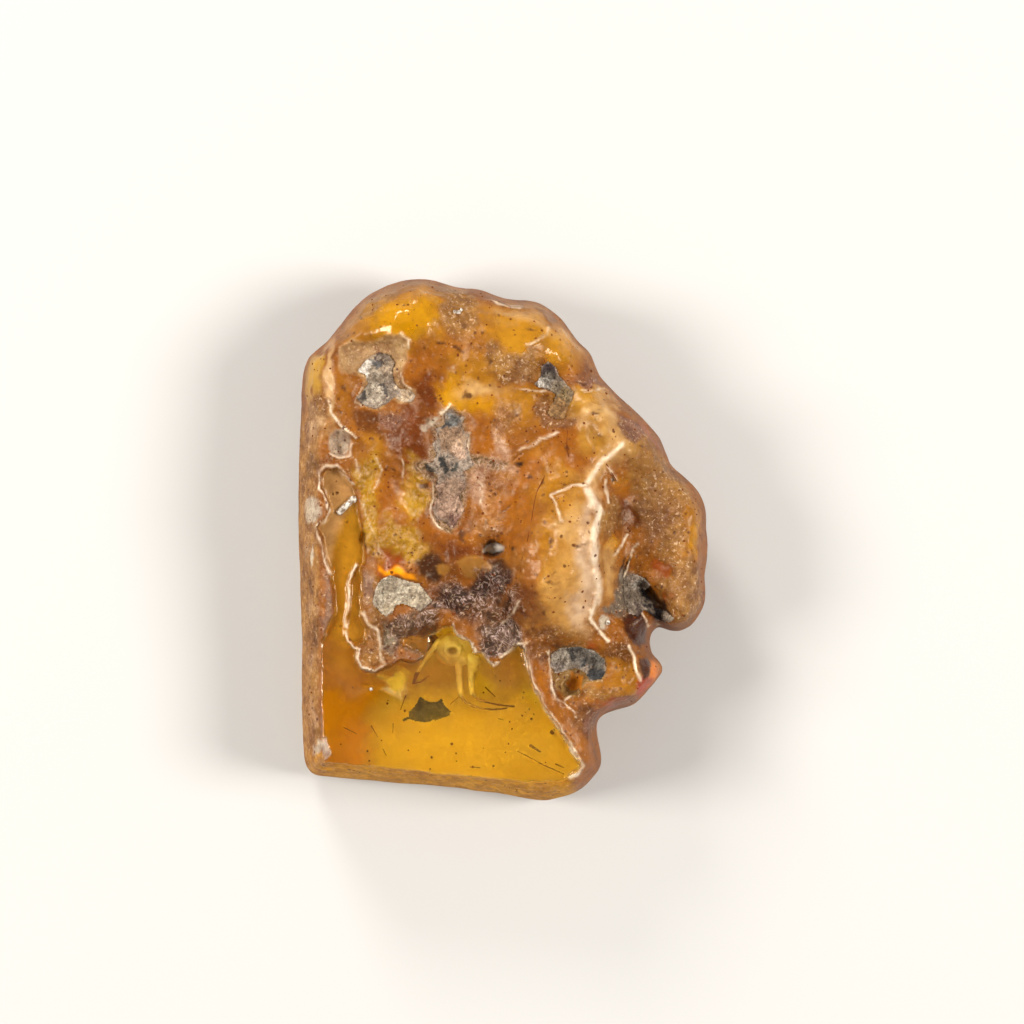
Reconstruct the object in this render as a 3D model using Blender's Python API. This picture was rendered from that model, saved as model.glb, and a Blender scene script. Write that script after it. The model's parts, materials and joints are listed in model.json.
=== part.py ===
"""A piece of raw amber with an insect sealed in it, lying on its ground back face.

The amber is one lump with two sawn flanks (left and lower), a natural skin elsewhere and a
polished window over the insect. It is parted at one level, because the insect and a flake of
bark lie in a closed pocket. Grey sediment sits in six of its surface pits.

Lengths are in millimetres until a mesh is written, which is in metres. +Z is up, and the origin
is under the middle of the lump, on the surface that it rests on.
"""

import math

import bmesh
import bpy
import numpy as np
from mathutils import Vector, geometry, noise

MM = 0.001

# Driving dimensions
WIDTH = 24.8  # along X
LENGTH = 31.6  # along Y
WINDOW_LEVEL = 7.4  # height of the polished window over the base
SKIN_LEVEL = 8.3  # mean height of the natural skin over the base
PARTING_LEVEL = 4.7  # height of the plane that parts the amber
GAP = 0.3  # clearance between neighbouring pieces
FRONT_STEP = 0.57  # spacing of the points on the front
BACK_STEP = 1.25  # spacing of the points on the back
RIM_STEP = 0.6  # spacing of the points round the rim
BACK_EDGE = 0.7  # how far inside the rim the back has a line of points
ON_THE_RIM = 0.01  # a point nearer to the rim than this is on it
FIRST_SEED = 3

# How the lump ends at its rim: (flank width, height of the widest level, roundness, back flank)
SAWN = (1.55, 0.9, 1.25, 0.7)
NATURAL = (2.6, 3.7, 2.1, 3.0)
SLIM = (1.3, 3.3, 2.0, 1.8)
EASING = (1.4, 2.0, 1.6, 1.3)

# The rim as seen from above, clockwise from the lower left corner: stretches of one ending each
RIM = (
    (SAWN, ((-12.05, -13.2), (-12.2, -10.0), (-12.2, -6.0), (-12.3, -3.0), (-12.4, 0.0),
            (-12.4, 3.0), (-12.35, 6.0), (-12.25, 8.0))),
    (EASING, ((-12.15, 9.2), (-12.05, 10.3))),
    (SLIM, ((-11.75, 11.0), (-11.2, 11.5), (-10.6, 11.95), (-10.05, 12.6))),
    (NATURAL, ((-9.4, 13.45), (-8.7, 14.25), (-7.8, 14.95), (-6.6, 15.5), (-5.2, 15.8),
               (-4.0, 15.7), (-3.1, 15.4), (-2.2, 15.22), (-1.2, 15.15), (-0.6, 14.9),
               (0.1, 14.6), (0.9, 14.52), (1.6, 14.55), (2.5, 14.25), (3.4, 13.6),
               (4.0, 12.85), (4.6, 12.0), (5.35, 11.35), (5.6, 10.75), (5.85, 10.05),
               (6.6, 9.15), (7.4, 8.4), (8.5, 7.4), (9.4, 6.4), (9.8, 5.5), (10.1, 4.7),
               (10.8, 4.05), (11.6, 3.35), (12.15, 2.5), (12.33, 1.5), (12.28, 0.8),
               (12.4, -0.1), (12.35, -1.2), (12.2, -2.2), (12.3, -3.1), (12.1, -4.0))),
    (SLIM, ((11.6, -4.95), (11.0, -5.4), (10.4, -5.6), (9.85, -5.4), (9.4, -5.2),
            (9.05, -5.45), (8.92, -6.1), (9.05, -6.75), (9.55, -7.1), (9.87, -7.7),
            (9.4, -8.3), (8.9, -8.9), (8.3, -9.6), (7.7, -10.05), (6.9, -10.2),
            (6.2, -10.4), (5.8, -10.7), (5.72, -11.2), (5.85, -12.0), (6.1, -13.0))),
    (EASING, ((6.05, -13.7), (5.6, -14.2), (5.1, -14.75), (4.5, -15.2))),
    (SAWN, ((3.6, -15.6), (2.5, -15.8), (1.3, -15.6), (-1.0, -15.25), (-4.0, -14.9),
            (-7.0, -14.65), (-10.0, -14.4), (-11.3, -14.25), (-11.85, -13.9))),
)

# The polished window, as seen from above
WINDOW = (
    (-10.6, -13.1), (-10.75, -9.0), (-10.75, -6.0), (-10.2, -4.5), (-10.0, -3.0),
    (-10.35, -1.2), (-10.6, 0.4), (-10.3, 2.0), (-10.8, 3.4), (-10.2, 4.3), (-9.5, 4.0),
    (-8.7, 3.1), (-8.3, 1.5), (-8.1, 0.0), (-8.2, -1.3), (-9.0, -1.9), (-9.15, -3.6),
    (-9.35, -5.4), (-9.0, -6.2), (-8.55, -6.5), (-8.5, -7.3), (-7.8, -7.85), (-6.7, -7.5),
    (-5.9, -7.0), (-6.0, -6.1), (-5.0, -5.2), (-4.0, -4.7), (-2.9, -4.8), (-2.5, -5.8),
    (-1.5, -6.6), (-0.7, -7.3), (0.4, -6.7), (1.35, -6.3), (1.6, -7.4), (2.1, -9.0),
    (3.2, -10.8), (4.4, -12.6), (4.85, -13.4), (4.2, -14.2),
)

# Lumps (+) and hollows (-) of the skin: centre, radii, turn in degrees, height, edge.
# An edge of 1 gives a bell, and a small edge gives a flat floor or top with steep sides.
RELIEF = {
    "great dome": (3.3, -0.6, 4.3, 6.6, -8, 2.7, 0.75),
    "dome shoulder": (4.6, 1.2, 2.0, 4.4, -12, 0.5, 0.8),
    "upper left swell": (-5.6, 13.0, 4.2, 3.0, 20, 0.5, 1.0),
    "upper left corner dip": (-11.0, 9.6, 1.6, 3.2, 0, -0.8, 0.9),
    "middle swell": (-5.4, 6.2, 3.4, 3.0, 0, 0.55, 1.0),
    "upper middle swell": (-0.6, 11.6, 3.8, 3.0, 0, 0.6, 1.0),
    "upper right swell": (6.6, 6.6, 2.9, 1.9, -45, 0.8, 0.9),
    "right ledge": (8.8, 0.4, 3.4, 5.2, 0, -1.3, 0.6),
    "right lobe": (11.3, -0.6, 1.6, 4.2, 5, 0.6, 0.9),
    "lobe hollow": (9.2, -1.5, 1.1, 0.8, 0, -0.5, 0.6),
    "notch pit": (9.1, -3.7, 1.9, 1.1, -38, -1.7, 0.5),
    "notch groove": (7.6, -3.0, 0.8, 2.6, -14, -1.0, 0.7),
    "brown hollow": (8.15, -5.3, 0.75, 1.5, 10, -0.9, 0.5),
    "lower right pit": (4.5, -7.1, 2.0, 1.0, -8, -1.5, 0.4),
    "orange hole": (4.1, -8.6, 1.0, 1.0, 0, -1.6, 0.5),
    "neck hollow": (7.2, -7.6, 1.2, 1.6, 10, -0.8, 0.8),
    "lower right foot": (4.9, -11.6, 1.6, 2.9, 22, -0.4, 0.9),
    "upper left pit": (-7.7, 10.9, 2.1, 1.3, 12, -0.8, 0.3),
    "upper left pit, lower arm": (-7.3, 8.9, 1.4, 1.2, 20, -0.9, 0.35),
    "pit toe": (-5.8, 8.7, 0.9, 0.6, -30, -0.6, 0.4),
    "brown hollow in the middle": (-6.9, 7.1, 1.1, 0.8, -30, -0.5, 0.5),
    "left pit": (-9.6, 5.7, 0.95, 1.1, 20, -0.7, 0.5),
    "upper right pit": (2.8, 9.6, 1.3, 1.3, 0, -1.1, 0.5),
    "upper right pit, lower arm": (3.7, 8.4, 1.2, 1.2, 0, -0.7, 0.5),
    "middle pit, upper arm": (-3.0, 6.2, 1.15, 1.9, 0, -0.8, 0.35),
    "middle pit, lower arm": (-3.1, 2.5, 1.15, 2.2, 5, -0.9, 0.35),
    "chipped field": (-7.2, 2.8, 1.7, 3.0, 0, -0.5, 0.6),
    "small hole": (-0.5, -0.4, 0.75, 0.55, 0, -1.1, 0.5),
    "purple hollow": (-2.2, -3.0, 2.6, 1.6, -20, -0.9, 0.5),
    "purple hollow, lower arm": (-0.2, -5.2, 1.7, 1.2, 25, -0.8, 0.5),
    "white plaque hollow": (-6.0, -3.3, 2.1, 1.35, -6, -0.8, 0.35),
    "hollow under the plaque": (-6.7, -5.6, 1.2, 1.5, 10, -0.7, 0.4),
    "fire hollow": (-6.1, -1.2, 1.3, 0.8, 0, -0.5, 0.6),
}

# Narrow raised edges of the skin: (points as seen from above, half width, height)
RIDGES = {
    "window edge": (((1.35, -6.3), (1.7, -7.6), (2.2, -9.2), (2.9, -10.3), (3.7, -11.6),
                     (4.6, -12.9), (4.8, -13.5), (4.2, -14.1)), 0.45, 0.4),
    "left edge": (((-10.9, 3.2), (-10.5, 2.6), (-10.4, 1.6), (-10.9, 0.9), (-10.6, -0.4),
                   (-10.3, -1.9)), 0.4, 0.3),
    "plaque edge": (((-8.6, -1.4), (-9.1, -2.4), (-9.2, -4.0), (-9.35, -5.4), (-8.9, -6.2),
                     (-8.5, -7.2), (-7.8, -7.85)), 0.35, 0.25),
    "dome edge": (((7.0, 5.4), (5.6, 4.4), (4.8, 3.5), (2.9, 2.8), (3.4, 1.3)), 0.5, 0.35),
    "dome foot": (((5.9, -3.4), (5.3, -4.5), (5.7, -5.4), (6.3, -6.0)), 0.4, 0.5),
    "upper left edge": (((-10.2, 8.4), (-10.0, 7.4), (-9.3, 6.7), (-8.7, 6.0)), 0.4, 0.35),
    "upper right edge": (((0.9, 9.0), (2.4, 8.85), (3.2, 8.9)), 0.35, 0.3),
    "neck edge": (((6.2, -4.4), (7.2, -5.4), (7.7, -6.4), (8.1, -7.6), (7.9, -8.3)), 0.45, 0.6),
}

# The part of the back that is ground flat, and how far the rest of the back rises
FLAT_BACK = ((-9.5, -13.8), (-10.6, 6.0), (-8.0, 10.5), (-2.0, 12.0), (3.0, 9.5), (7.6, 4.5),
             (9.2, 0.0), (7.6, -3.5), (4.6, -8.0), (4.6, -12.0), (3.0, -14.6))
BACK_RISE = 0.8
BACK_RISE_WIDTH = 2.5

# The pocket of the inclusions
POCKET = ((-6.6, -11.2), (-6.7, -8.4), (-6.5, -5.8), (-5.4, -4.7), (-2.6, -4.6), (-0.9, -5.2),
          (-0.5, -7.6), (1.4, -9.0), (1.5, -10.6), (-1.4, -10.9), (-3.0, -11.5))
POCKET_LEVELS = (3.4, 6.2)
POCKET_ROUNDING = 0.55

# The insect: joints of its body and legs as (x, y, z, radius)
INSECT_BODY = {
    "thorax": ((-3.0, -6.4, 4.85, 1.0), (-2.7, -6.7, 4.8, 0.95)),
    "head": ((-1.95, -5.75, 4.95, 0.62), (-1.65, -6.1, 4.85, 0.5)),
    "waist": ((-2.2, -6.9, 4.7, 0.7), (-1.9, -7.2, 4.6, 0.55)),
    "abdomen": ((-3.8, -6.0, 4.6, 0.6), (-4.6, -5.9, 4.5, 0.75), (-5.5, -6.0, 4.4, 0.5)),
}
INSECT_LEGS = {
    "hind leg, near": ((-2.6, -7.3, 4.9, 0.34), (-2.5, -8.2, 4.9, 0.27), (-2.3, -9.2, 4.6, 0.22),
                       (-1.6, -9.85, 4.3, 0.16), (-0.4, -10.05, 4.1, 0.15), (0.7, -9.95, 4.1, 0.14)),
    "hind leg, far": ((-2.0, -7.5, 4.5, 0.32), (-1.75, -8.4, 4.4, 0.26), (-1.7, -9.1, 4.3, 0.2),
                      (-1.0, -9.5, 4.3, 0.16), (0.0, -9.65, 4.45, 0.15), (0.8, -9.75, 4.6, 0.14)),
    "middle leg": ((-3.9, -6.4, 5.0, 0.26), (-4.7, -7.2, 5.1, 0.2), (-5.35, -8.6, 4.7, 0.15),
                   (-4.4, -8.2, 4.3, 0.15)),
    "front leg": ((-4.2, -6.5, 4.2, 0.2), (-5.6, -8.6, 4.0, 0.15), (-6.0, -9.6, 4.1, 0.14)),
}
INSECT_VOXEL = 0.1
INSECT_KEPT = 0.12  # share of the insect's faces that are kept

# A flake of bark beside the insect
FLAKE = ((-5.95, -10.65), (-5.5, -10.35), (-5.2, -9.8), (-4.85, -9.35), (-4.3, -9.55),
         (-3.8, -9.45), (-3.4, -9.6), (-3.1, -10.15), (-3.4, -10.55), (-4.2, -10.7),
         (-4.9, -10.85))
FLAKE_LEVELS = (4.9, 5.2)

# Grey sediment in the pits of the skin, as seen from above
SEDIMENT = {
    "sediment_upper_left": ((-8.7, 10.0), (-8.3, 10.6), (-7.3, 10.8), (-6.5, 10.6),
                            (-6.5, 9.8), (-6.4, 9.2), (-6.6, 8.4), (-7.3, 7.95), (-8.0, 8.1),
                            (-8.5, 8.5), (-8.0, 9.2), (-7.9, 9.9)),
    "sediment_upper_right": ((1.6, 9.15), (2.2, 9.8), (2.5, 10.6), (3.0, 10.6), (3.5, 10.0),
                             (3.9, 9.2), (4.3, 8.5), (3.6, 8.2), (3.0, 8.9)),
    "sediment_middle": ((-4.0, 4.7), (-3.4, 5.4), (-3.5, 7.1), (-2.9, 7.5), (-2.4, 6.8),
                        (-2.3, 5.6), (-2.2, 4.2), (-2.3, 2.6), (-2.6, 1.4), (-3.2, 1.1),
                        (-3.8, 1.8), (-3.9, 3.2)),
    "white_plaque": ((-7.8, -3.4), (-7.4, -2.5), (-6.8, -2.2), (-5.8, -2.35), (-4.8, -2.7),
                     (-4.3, -3.4), (-4.9, -4.1), (-5.5, -3.9), (-6.3, -4.0), (-6.9, -4.5),
                     (-7.5, -4.1)),
    "sediment_lower_right": ((2.9, -7.0), (3.4, -6.5), (4.4, -6.45), (5.4, -6.8), (6.1, -7.2),
                             (6.0, -7.9), (5.2, -8.2), (4.8, -7.6), (4.1, -7.5), (3.2, -7.9)),
    "sediment_notch": ((7.9, -2.6), (8.6, -2.4), (8.9, -3.1), (9.5, -3.5), (10.1, -4.2),
                       (10.0, -4.8), (9.3, -4.6), (8.6, -4.2), (8.2, -3.6)),
}
SEDIMENT_THICKNESS = 0.4

# Colours, roughness and see-through share of the materials
FINISHES = {
    "amber": ((0.72, 0.36, 0.03), 0.2, 0.9),
    "insect": ((0.55, 0.36, 0.07), 0.5, 0.0),
    "bark": ((0.11, 0.07, 0.05), 0.8, 0.0),
    "sediment": ((0.46, 0.42, 0.36), 0.95, 0.0),
}


def smooth_step(value):
    t = np.clip(value, 0.0, 1.0)
    return t * t * (3.0 - 2.0 * t)


def smooth_loop(points, step):
    """Points about a step apart on a smooth closed curve through the given ones."""
    points = np.array(points, float)
    count = len(points)
    found = []
    for i in range(count):
        before, start, end, after = (points[(i + k) % count] for k in (-1, 0, 1, 2))
        pieces = max(1, round(np.linalg.norm((end - start)[:2]) / step))
        for t in np.arange(pieces) / pieces:
            found.append(0.5 * (2 * start + (end - before) * t
                                + (2 * before - 5 * start + 4 * end - after) * t ** 2
                                + (3 * start - before - 3 * end + after) * t ** 3))
    return np.array(found)


def distance_to_path(x, y, path, closed=False):
    """How far a point is from a path of straight pieces."""
    path = np.array(path, float)[:, :2]
    start = path if closed else path[:-1]
    run = (np.roll(path, -1, axis=0) if closed else path[1:]) - start
    offset = np.array((x, y)) - start
    share = np.clip((offset * run).sum(1) / (run ** 2).sum(1), 0, 1)
    return float(np.sqrt(((offset - share[:, None] * run) ** 2).sum(1)).min())


def inside(x, y, loop):
    """True if a point lies inside a closed path, by the even-odd rule."""
    loop = np.array(loop, float)[:, :2]
    a, b = loop, np.roll(loop, -1, axis=0)
    crosses = (a[:, 1] > y) != (b[:, 1] > y)
    rise = np.where(crosses, b[:, 1] - a[:, 1], 1.0)
    return bool((crosses & (x < a[:, 0] + (y - a[:, 1]) / rise * (b[:, 0] - a[:, 0]))).sum() % 2)


def depth_inside(x, y, loop):
    """The distance to a closed path, negative outside it."""
    away = distance_to_path(x, y, loop, closed=True)
    return away if inside(x, y, loop) else -away


def rim_samples():
    """The rim's points with the ending of each: x, y, flank, widest level, roundness, back."""
    knots = [(x, y, *ending) for ending, stretch in RIM for x, y in stretch]
    return smooth_loop(knots, RIM_STEP)


RIM_POINTS = rim_samples()
WINDOW_LOOP = smooth_loop(WINDOW, RIM_STEP)


def rounded(share, roundness):
    """A flank's rise from 0 to 1: straight for a roundness of 1, a quarter round for 2."""
    t = min(max(share, 0.0), 1.0)
    return (1.0 - (1.0 - t) ** roundness) ** (1.0 / roundness)


def swell(x, y, centre_x, centre_y, radius_x, radius_y, turn, height, edge):
    """The height that one lump or hollow adds."""
    c, s = math.cos(math.radians(turn)), math.sin(math.radians(turn))
    u = ((x - centre_x) * c + (y - centre_y) * s) / radius_x
    v = (-(x - centre_x) * s + (y - centre_y) * c) / radius_y
    return height * float(smooth_step((1.0 - math.hypot(u, v)) / edge))


def skin_height(x, y):
    """The natural skin's height, before it turns down to the rim."""
    height = SKIN_LEVEL
    height += 0.35 * noise.noise(Vector((x / 4.1, y / 4.1, 0.7)))
    height += 0.14 * noise.noise(Vector((x / 1.3, y / 1.3, 5.1)))
    for lump in RELIEF.values():
        height += swell(x, y, *lump)
    return height


def ridge_height(x, y):
    """What the narrow edges add."""
    added = 0.0
    for path, half_width, height in RIDGES.values():
        share = 1.0 - distance_to_path(x, y, path) / half_width
        added = max(added, height * float(smooth_step(share)))
    return added


def nearest_rim(x, y):
    """The distance to the rim, and the ending of the rim point that is nearest."""
    away = np.hypot(RIM_POINTS[:, 0] - x, RIM_POINTS[:, 1] - y)
    return distance_to_path(x, y, RIM_POINTS, closed=True), RIM_POINTS[int(away.argmin()), 2:]


def front_height(x, y):
    """The height of the amber's front over the base."""
    depth = depth_inside(x, y, WINDOW_LOOP)
    polished = float(smooth_step(depth / 0.5 + 0.5))
    top = WINDOW_LEVEL * polished + skin_height(x, y) * (1.0 - polished) + ridge_height(x, y)
    away, (flank, low, roundness, _) = nearest_rim(x, y)
    if away < ON_THE_RIM:
        return low
    return low + (top - low) * rounded(away / flank, roundness)


def back_height(x, y):
    """The height of the amber's back over the base: flat, then rising to the rim."""
    away, (_, low, roundness, back_flank) = nearest_rim(x, y)
    if away < ON_THE_RIM:
        return low
    outside = -depth_inside(x, y, FLAT_BACK)
    rise = BACK_RISE * float(smooth_step(outside / BACK_RISE_WIDTH))
    return rise + (low - rise) * (1.0 - rounded(away / back_flank, roundness))


def grid_points(step, keep_off, lines):
    """Staggered points inside the rim, clear of it and of the given lines."""
    rng = np.random.default_rng(FIRST_SEED)
    found = []
    row_step = step * math.sqrt(3) / 2
    for row in range(int(LENGTH / row_step) + 2):
        for column in range(int(WIDTH / step) + 2):
            jitter_x, jitter_y = rng.uniform(-0.14, 0.14, 2) * step
            x = -WIDTH / 2 + (column + 0.5 * (row % 2)) * step + jitter_x
            y = -LENGTH / 2 + row * row_step + jitter_y
            if depth_inside(x, y, RIM_POINTS) < keep_off * step:
                continue
            if all(distance_to_path(x, y, line) > keep_off * step for line in lines):
                found.append((x, y))
    return found


def inner_rim(width_of, wanted):
    """Lines that follow the rim at the width that width_of gives, where wanted says so."""
    lines, line = [], []
    count = len(RIM_POINTS)
    for i in range(count):
        x, y, *ending = RIM_POINTS[i]
        run = RIM_POINTS[(i + 1) % count, :2] - RIM_POINTS[i - 1, :2]
        inward = np.array((run[1], -run[0])) / np.linalg.norm(run)
        shoulder = np.array((x, y)) + inward * width_of(ending)
        near = 0.96 * width_of(ending)
        if wanted(ending) and distance_to_path(*shoulder, RIM_POINTS, closed=True) > near:
            line.append(tuple(shoulder))
        elif line:
            lines.append(line)
            line = []
    lines.append(line)
    return [found for found in lines if len(found) > 3]


def triangulate(loop, lines, points):
    """The points and triangles of a flat mesh inside a loop, with its lines kept as edges."""
    flat, edges = [Vector(p) for p in loop], []
    edges += [(i, (i + 1) % len(loop)) for i in range(len(loop))]
    for line in lines:
        start = len(flat)
        flat += [Vector(p) for p in line]
        edges += [(start + i, start + i + 1) for i in range(len(line) - 1)]
    flat += [Vector(p) for p in points]
    found, _, faces, *_ = geometry.delaunay_2d_cdt(flat, edges, [], 0, 1e-6)
    kept = []
    for face in faces:
        middle = sum((found[i] for i in face), Vector((0, 0))) / len(face)
        if inside(middle.x, middle.y, loop):
            kept.append(face)
    return found, kept


def make_object(name, bm, material):
    """A named object from a bmesh in millimetres."""
    bmesh.ops.remove_doubles(bm, verts=bm.verts, dist=1e-4)
    bmesh.ops.recalc_face_normals(bm, faces=bm.faces)
    bmesh.ops.scale(bm, vec=(MM, MM, MM), verts=bm.verts)
    mesh = bpy.data.meshes.new(name)
    bm.to_mesh(mesh)
    bm.free()
    mesh.materials.append(bpy.data.materials[material])
    obj = bpy.data.objects.new(name, mesh)
    bpy.context.scene.collection.objects.link(obj)
    return obj


def add_sheet(bm, loop, lines, points, height_of):
    """Adds a triangulated sheet to bm, each point at the height that height_of gives."""
    flat, faces = triangulate(loop, lines, points)
    made = [bm.verts.new((p.x, p.y, height_of(p.x, p.y))) for p in flat]
    for face in faces:
        bm.faces.new([made[i] for i in face])


def amber_lump():
    """The whole lump: a front sheet and a back sheet that meet at the rim."""
    bm = bmesh.new()
    rim = [tuple(p) for p in RIM_POINTS[:, :2]]
    window = [tuple(p) for p in WINDOW_LOOP]
    window.append(window[0])
    ridges = [smooth_line(path, RIM_STEP) for path, _, _ in RIDGES.values()]
    ridges = [line for line in ridges if all(distance_to_path(*p, window) > 0.35 for p in line)]
    shoulder = inner_rim(lambda ending: ending[0], lambda ending: ending[1] < SAWN[1] + 0.05)
    lines = [*shoulder, window, *ridges]
    add_sheet(bm, rim, lines, grid_points(FRONT_STEP, 0.55, lines), front_height)
    lines = inner_rim(lambda ending: BACK_EDGE, lambda ending: True)
    add_sheet(bm, rim, lines, grid_points(BACK_STEP, 0.6, lines), back_height)
    bmesh.ops.remove_doubles(bm, verts=bm.verts, dist=1e-4)
    return bm


def smooth_line(points, step):
    """Points about a step apart on a smooth open curve through the given ones."""
    there_and_back = [*points, *points[-2:0:-1]]
    curve = smooth_loop(there_and_back, step)
    end = int(np.hypot(*(curve - np.array(points[-1])).T).argmin())
    return [tuple(p) for p in curve[:end + 1]]


def half_lump(name, lump, above):
    """The part of the lump above or below the parting plane, with its cut face closed."""
    bm = lump.copy()
    level = PARTING_LEVEL + (GAP / 2 if above else -GAP / 2)
    cut = bmesh.ops.bisect_plane(
        bm, geom=bm.verts[:] + bm.edges[:] + bm.faces[:], dist=1e-5, plane_co=(0, 0, level),
        plane_no=(0, 0, 1), clear_inner=above, clear_outer=not above)
    edges = [part for part in cut["geom_cut"] if isinstance(part, bmesh.types.BMEdge)]
    bmesh.ops.triangle_fill(bm, use_beauty=True, edges=edges)
    return make_object(name, bm, "amber")


def pocket_cutter():
    """The pocket as a rounded prism, for cutting."""
    bm = bmesh.new()
    low, high = POCKET_LEVELS
    ring = [bm.verts.new((x, y, low)) for x, y in smooth_loop(POCKET, 1.2)]
    floor = bm.faces.new(ring)
    top = bmesh.ops.extrude_face_region(bm, geom=[floor])["geom"]
    raised = [part for part in top if isinstance(part, bmesh.types.BMVert)]
    bmesh.ops.translate(bm, vec=(0, 0, high - low), verts=raised)
    flat_edges = [e for e in bm.edges if abs(e.verts[0].co.z - e.verts[1].co.z) < 1e-6]
    bmesh.ops.bevel(bm, geom=flat_edges, offset=POCKET_ROUNDING, segments=2, profile=0.5,
                    affect="EDGES")
    cutter = make_object("pocket_cutter", bm, "amber")
    cutter.hide_render = True
    cutter.display_type = "WIRE"
    return cutter


def cut(obj, cutter):
    """Takes the cutter's shape out of obj."""
    modifier = obj.modifiers.new("Pocket", "BOOLEAN")
    modifier.operation = "DIFFERENCE"
    modifier.object = cutter


def add_limb(bm, joints):
    """A chain of balls, with a tapered tube between each two."""
    for x, y, z, radius in joints:
        ball = bmesh.ops.create_icosphere(bm, subdivisions=2, radius=radius)["verts"]
        bmesh.ops.translate(bm, vec=(x, y, z), verts=ball)
    for (*start, r_start), (*end, r_end) in zip(joints, joints[1:]):
        run = Vector(end) - Vector(start)
        tube = bmesh.ops.create_cone(
            bm, cap_ends=True, segments=10, radius1=r_start, radius2=r_end,
            depth=run.length)["verts"]
        bmesh.ops.rotate(bm, verts=tube, matrix=run.to_track_quat("Z", "Y").to_matrix())
        bmesh.ops.translate(bm, vec=(Vector(start) + Vector(end)) / 2, verts=tube)


def build_insect():
    """The insect: body and legs fused in one skin."""
    bm = bmesh.new()
    for joints in (*INSECT_BODY.values(), *INSECT_LEGS.values()):
        add_limb(bm, joints)
    mesh = bpy.data.meshes.new("insect")
    bmesh.ops.scale(bm, vec=(MM, MM, MM), verts=bm.verts)
    bm.to_mesh(mesh)
    bm.free()
    mesh.materials.append(bpy.data.materials["insect"])
    obj = bpy.data.objects.new("insect", mesh)
    bpy.context.scene.collection.objects.link(obj)
    fuse = obj.modifiers.new("Fuse", "REMESH")
    fuse.mode = "VOXEL"
    fuse.voxel_size = INSECT_VOXEL * MM
    thin = obj.modifiers.new("Thin out", "DECIMATE")
    thin.ratio = INSECT_KEPT
    return obj


def build_flake():
    """The flake of bark: a thin bent plate."""
    bm = bmesh.new()
    low, high = FLAKE_LEVELS
    ring = [bm.verts.new((x, y, low)) for x, y in smooth_loop(FLAKE, 0.4)]
    plate = bm.faces.new(ring)
    top = bmesh.ops.extrude_face_region(bm, geom=[plate])["geom"]
    raised = [part for part in top if isinstance(part, bmesh.types.BMVert)]
    bmesh.ops.translate(bm, vec=(0, 0, high - low), verts=raised)
    for vert in bm.verts:
        vert.co.z += 0.1 * math.sin(vert.co.x * 2.0) + 0.12 * (vert.co.y + 10.0)
    return make_object("bark_flake", bm, "bark")


def build_sediment(name, outline):
    """A thin crust that follows the floor of its pit, a gap above it."""
    loop = [tuple(p) for p in smooth_loop(outline, 0.5)]
    rng = np.random.default_rng(FIRST_SEED)
    xs, ys = zip(*loop)
    inner = []
    for x in np.arange(min(xs), max(xs), FRONT_STEP):
        for y in np.arange(min(ys), max(ys), FRONT_STEP):
            px, py = np.array((x, y)) + rng.uniform(-0.1, 0.1, 2)
            if depth_inside(px, py, loop) > 0.3:
                inner.append((px, py))

    def floor(x, y):
        return front_height(x, y) + GAP

    def crust(x, y):
        share = rounded(max(depth_inside(x, y, loop), 0.0) / 0.5, 2.0)
        lumps = 1.0 + 0.5 * noise.noise(Vector((x / 0.7, y / 0.7, 2.2)))
        return floor(x, y) + SEDIMENT_THICKNESS * (0.3 + 0.7 * share * lumps)

    bm = bmesh.new()
    flat, faces = triangulate(loop, [], inner)
    low = [bm.verts.new((p.x, p.y, floor(p.x, p.y))) for p in flat]
    high = [bm.verts.new((p.x, p.y, crust(p.x, p.y))) for p in flat]
    for face in faces:
        bm.faces.new([low[i] for i in face])
        bm.faces.new([high[i] for i in reversed(face)])
    count = len(loop)
    for i in range(count):
        j = (i + 1) % count
        bm.faces.new((low[i], low[j], high[j], high[i]))
    return make_object(name, bm, "sediment")


def make_materials():
    for name, (colour, roughness, clear) in FINISHES.items():
        material = bpy.data.materials.new(name)
        material.use_nodes = True
        shader = material.node_tree.nodes["Principled BSDF"]
        shader.inputs["Base Color"].default_value = (*colour, 1.0)
        shader.inputs["Roughness"].default_value = roughness
        shader.inputs["Metallic"].default_value = 0.0
        shader.inputs["Transmission Weight"].default_value = clear


def main():
    for obj in list(bpy.data.objects):
        bpy.data.objects.remove(obj)
    make_materials()
    cutter = pocket_cutter()
    lump = amber_lump()
    cut(half_lump("amber_upper", lump, above=True), cutter)
    cut(half_lump("amber_lower", lump, above=False), cutter)
    lump.free()
    build_insect()
    build_flake()
    for name, outline in SEDIMENT.items():
        build_sediment(name, outline)


main()
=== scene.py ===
"""The finish of a raw amber piece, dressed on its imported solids.

Baltic amber is fossil resin: clear and golden where it is polished, hazy and orange-brown under
its natural skin. This piece lies on its ground back. It has two sawn flanks, left and lower, and
a polished window over a small insect. Grey sediment sticks in the pits of its skin.

Sizes are in millimetres in the lists below, and in metres in the meshes.
"""

import json
import math

import bpy
import numpy as np
from mathutils import Matrix, Vector, bvhtree, noise

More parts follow.
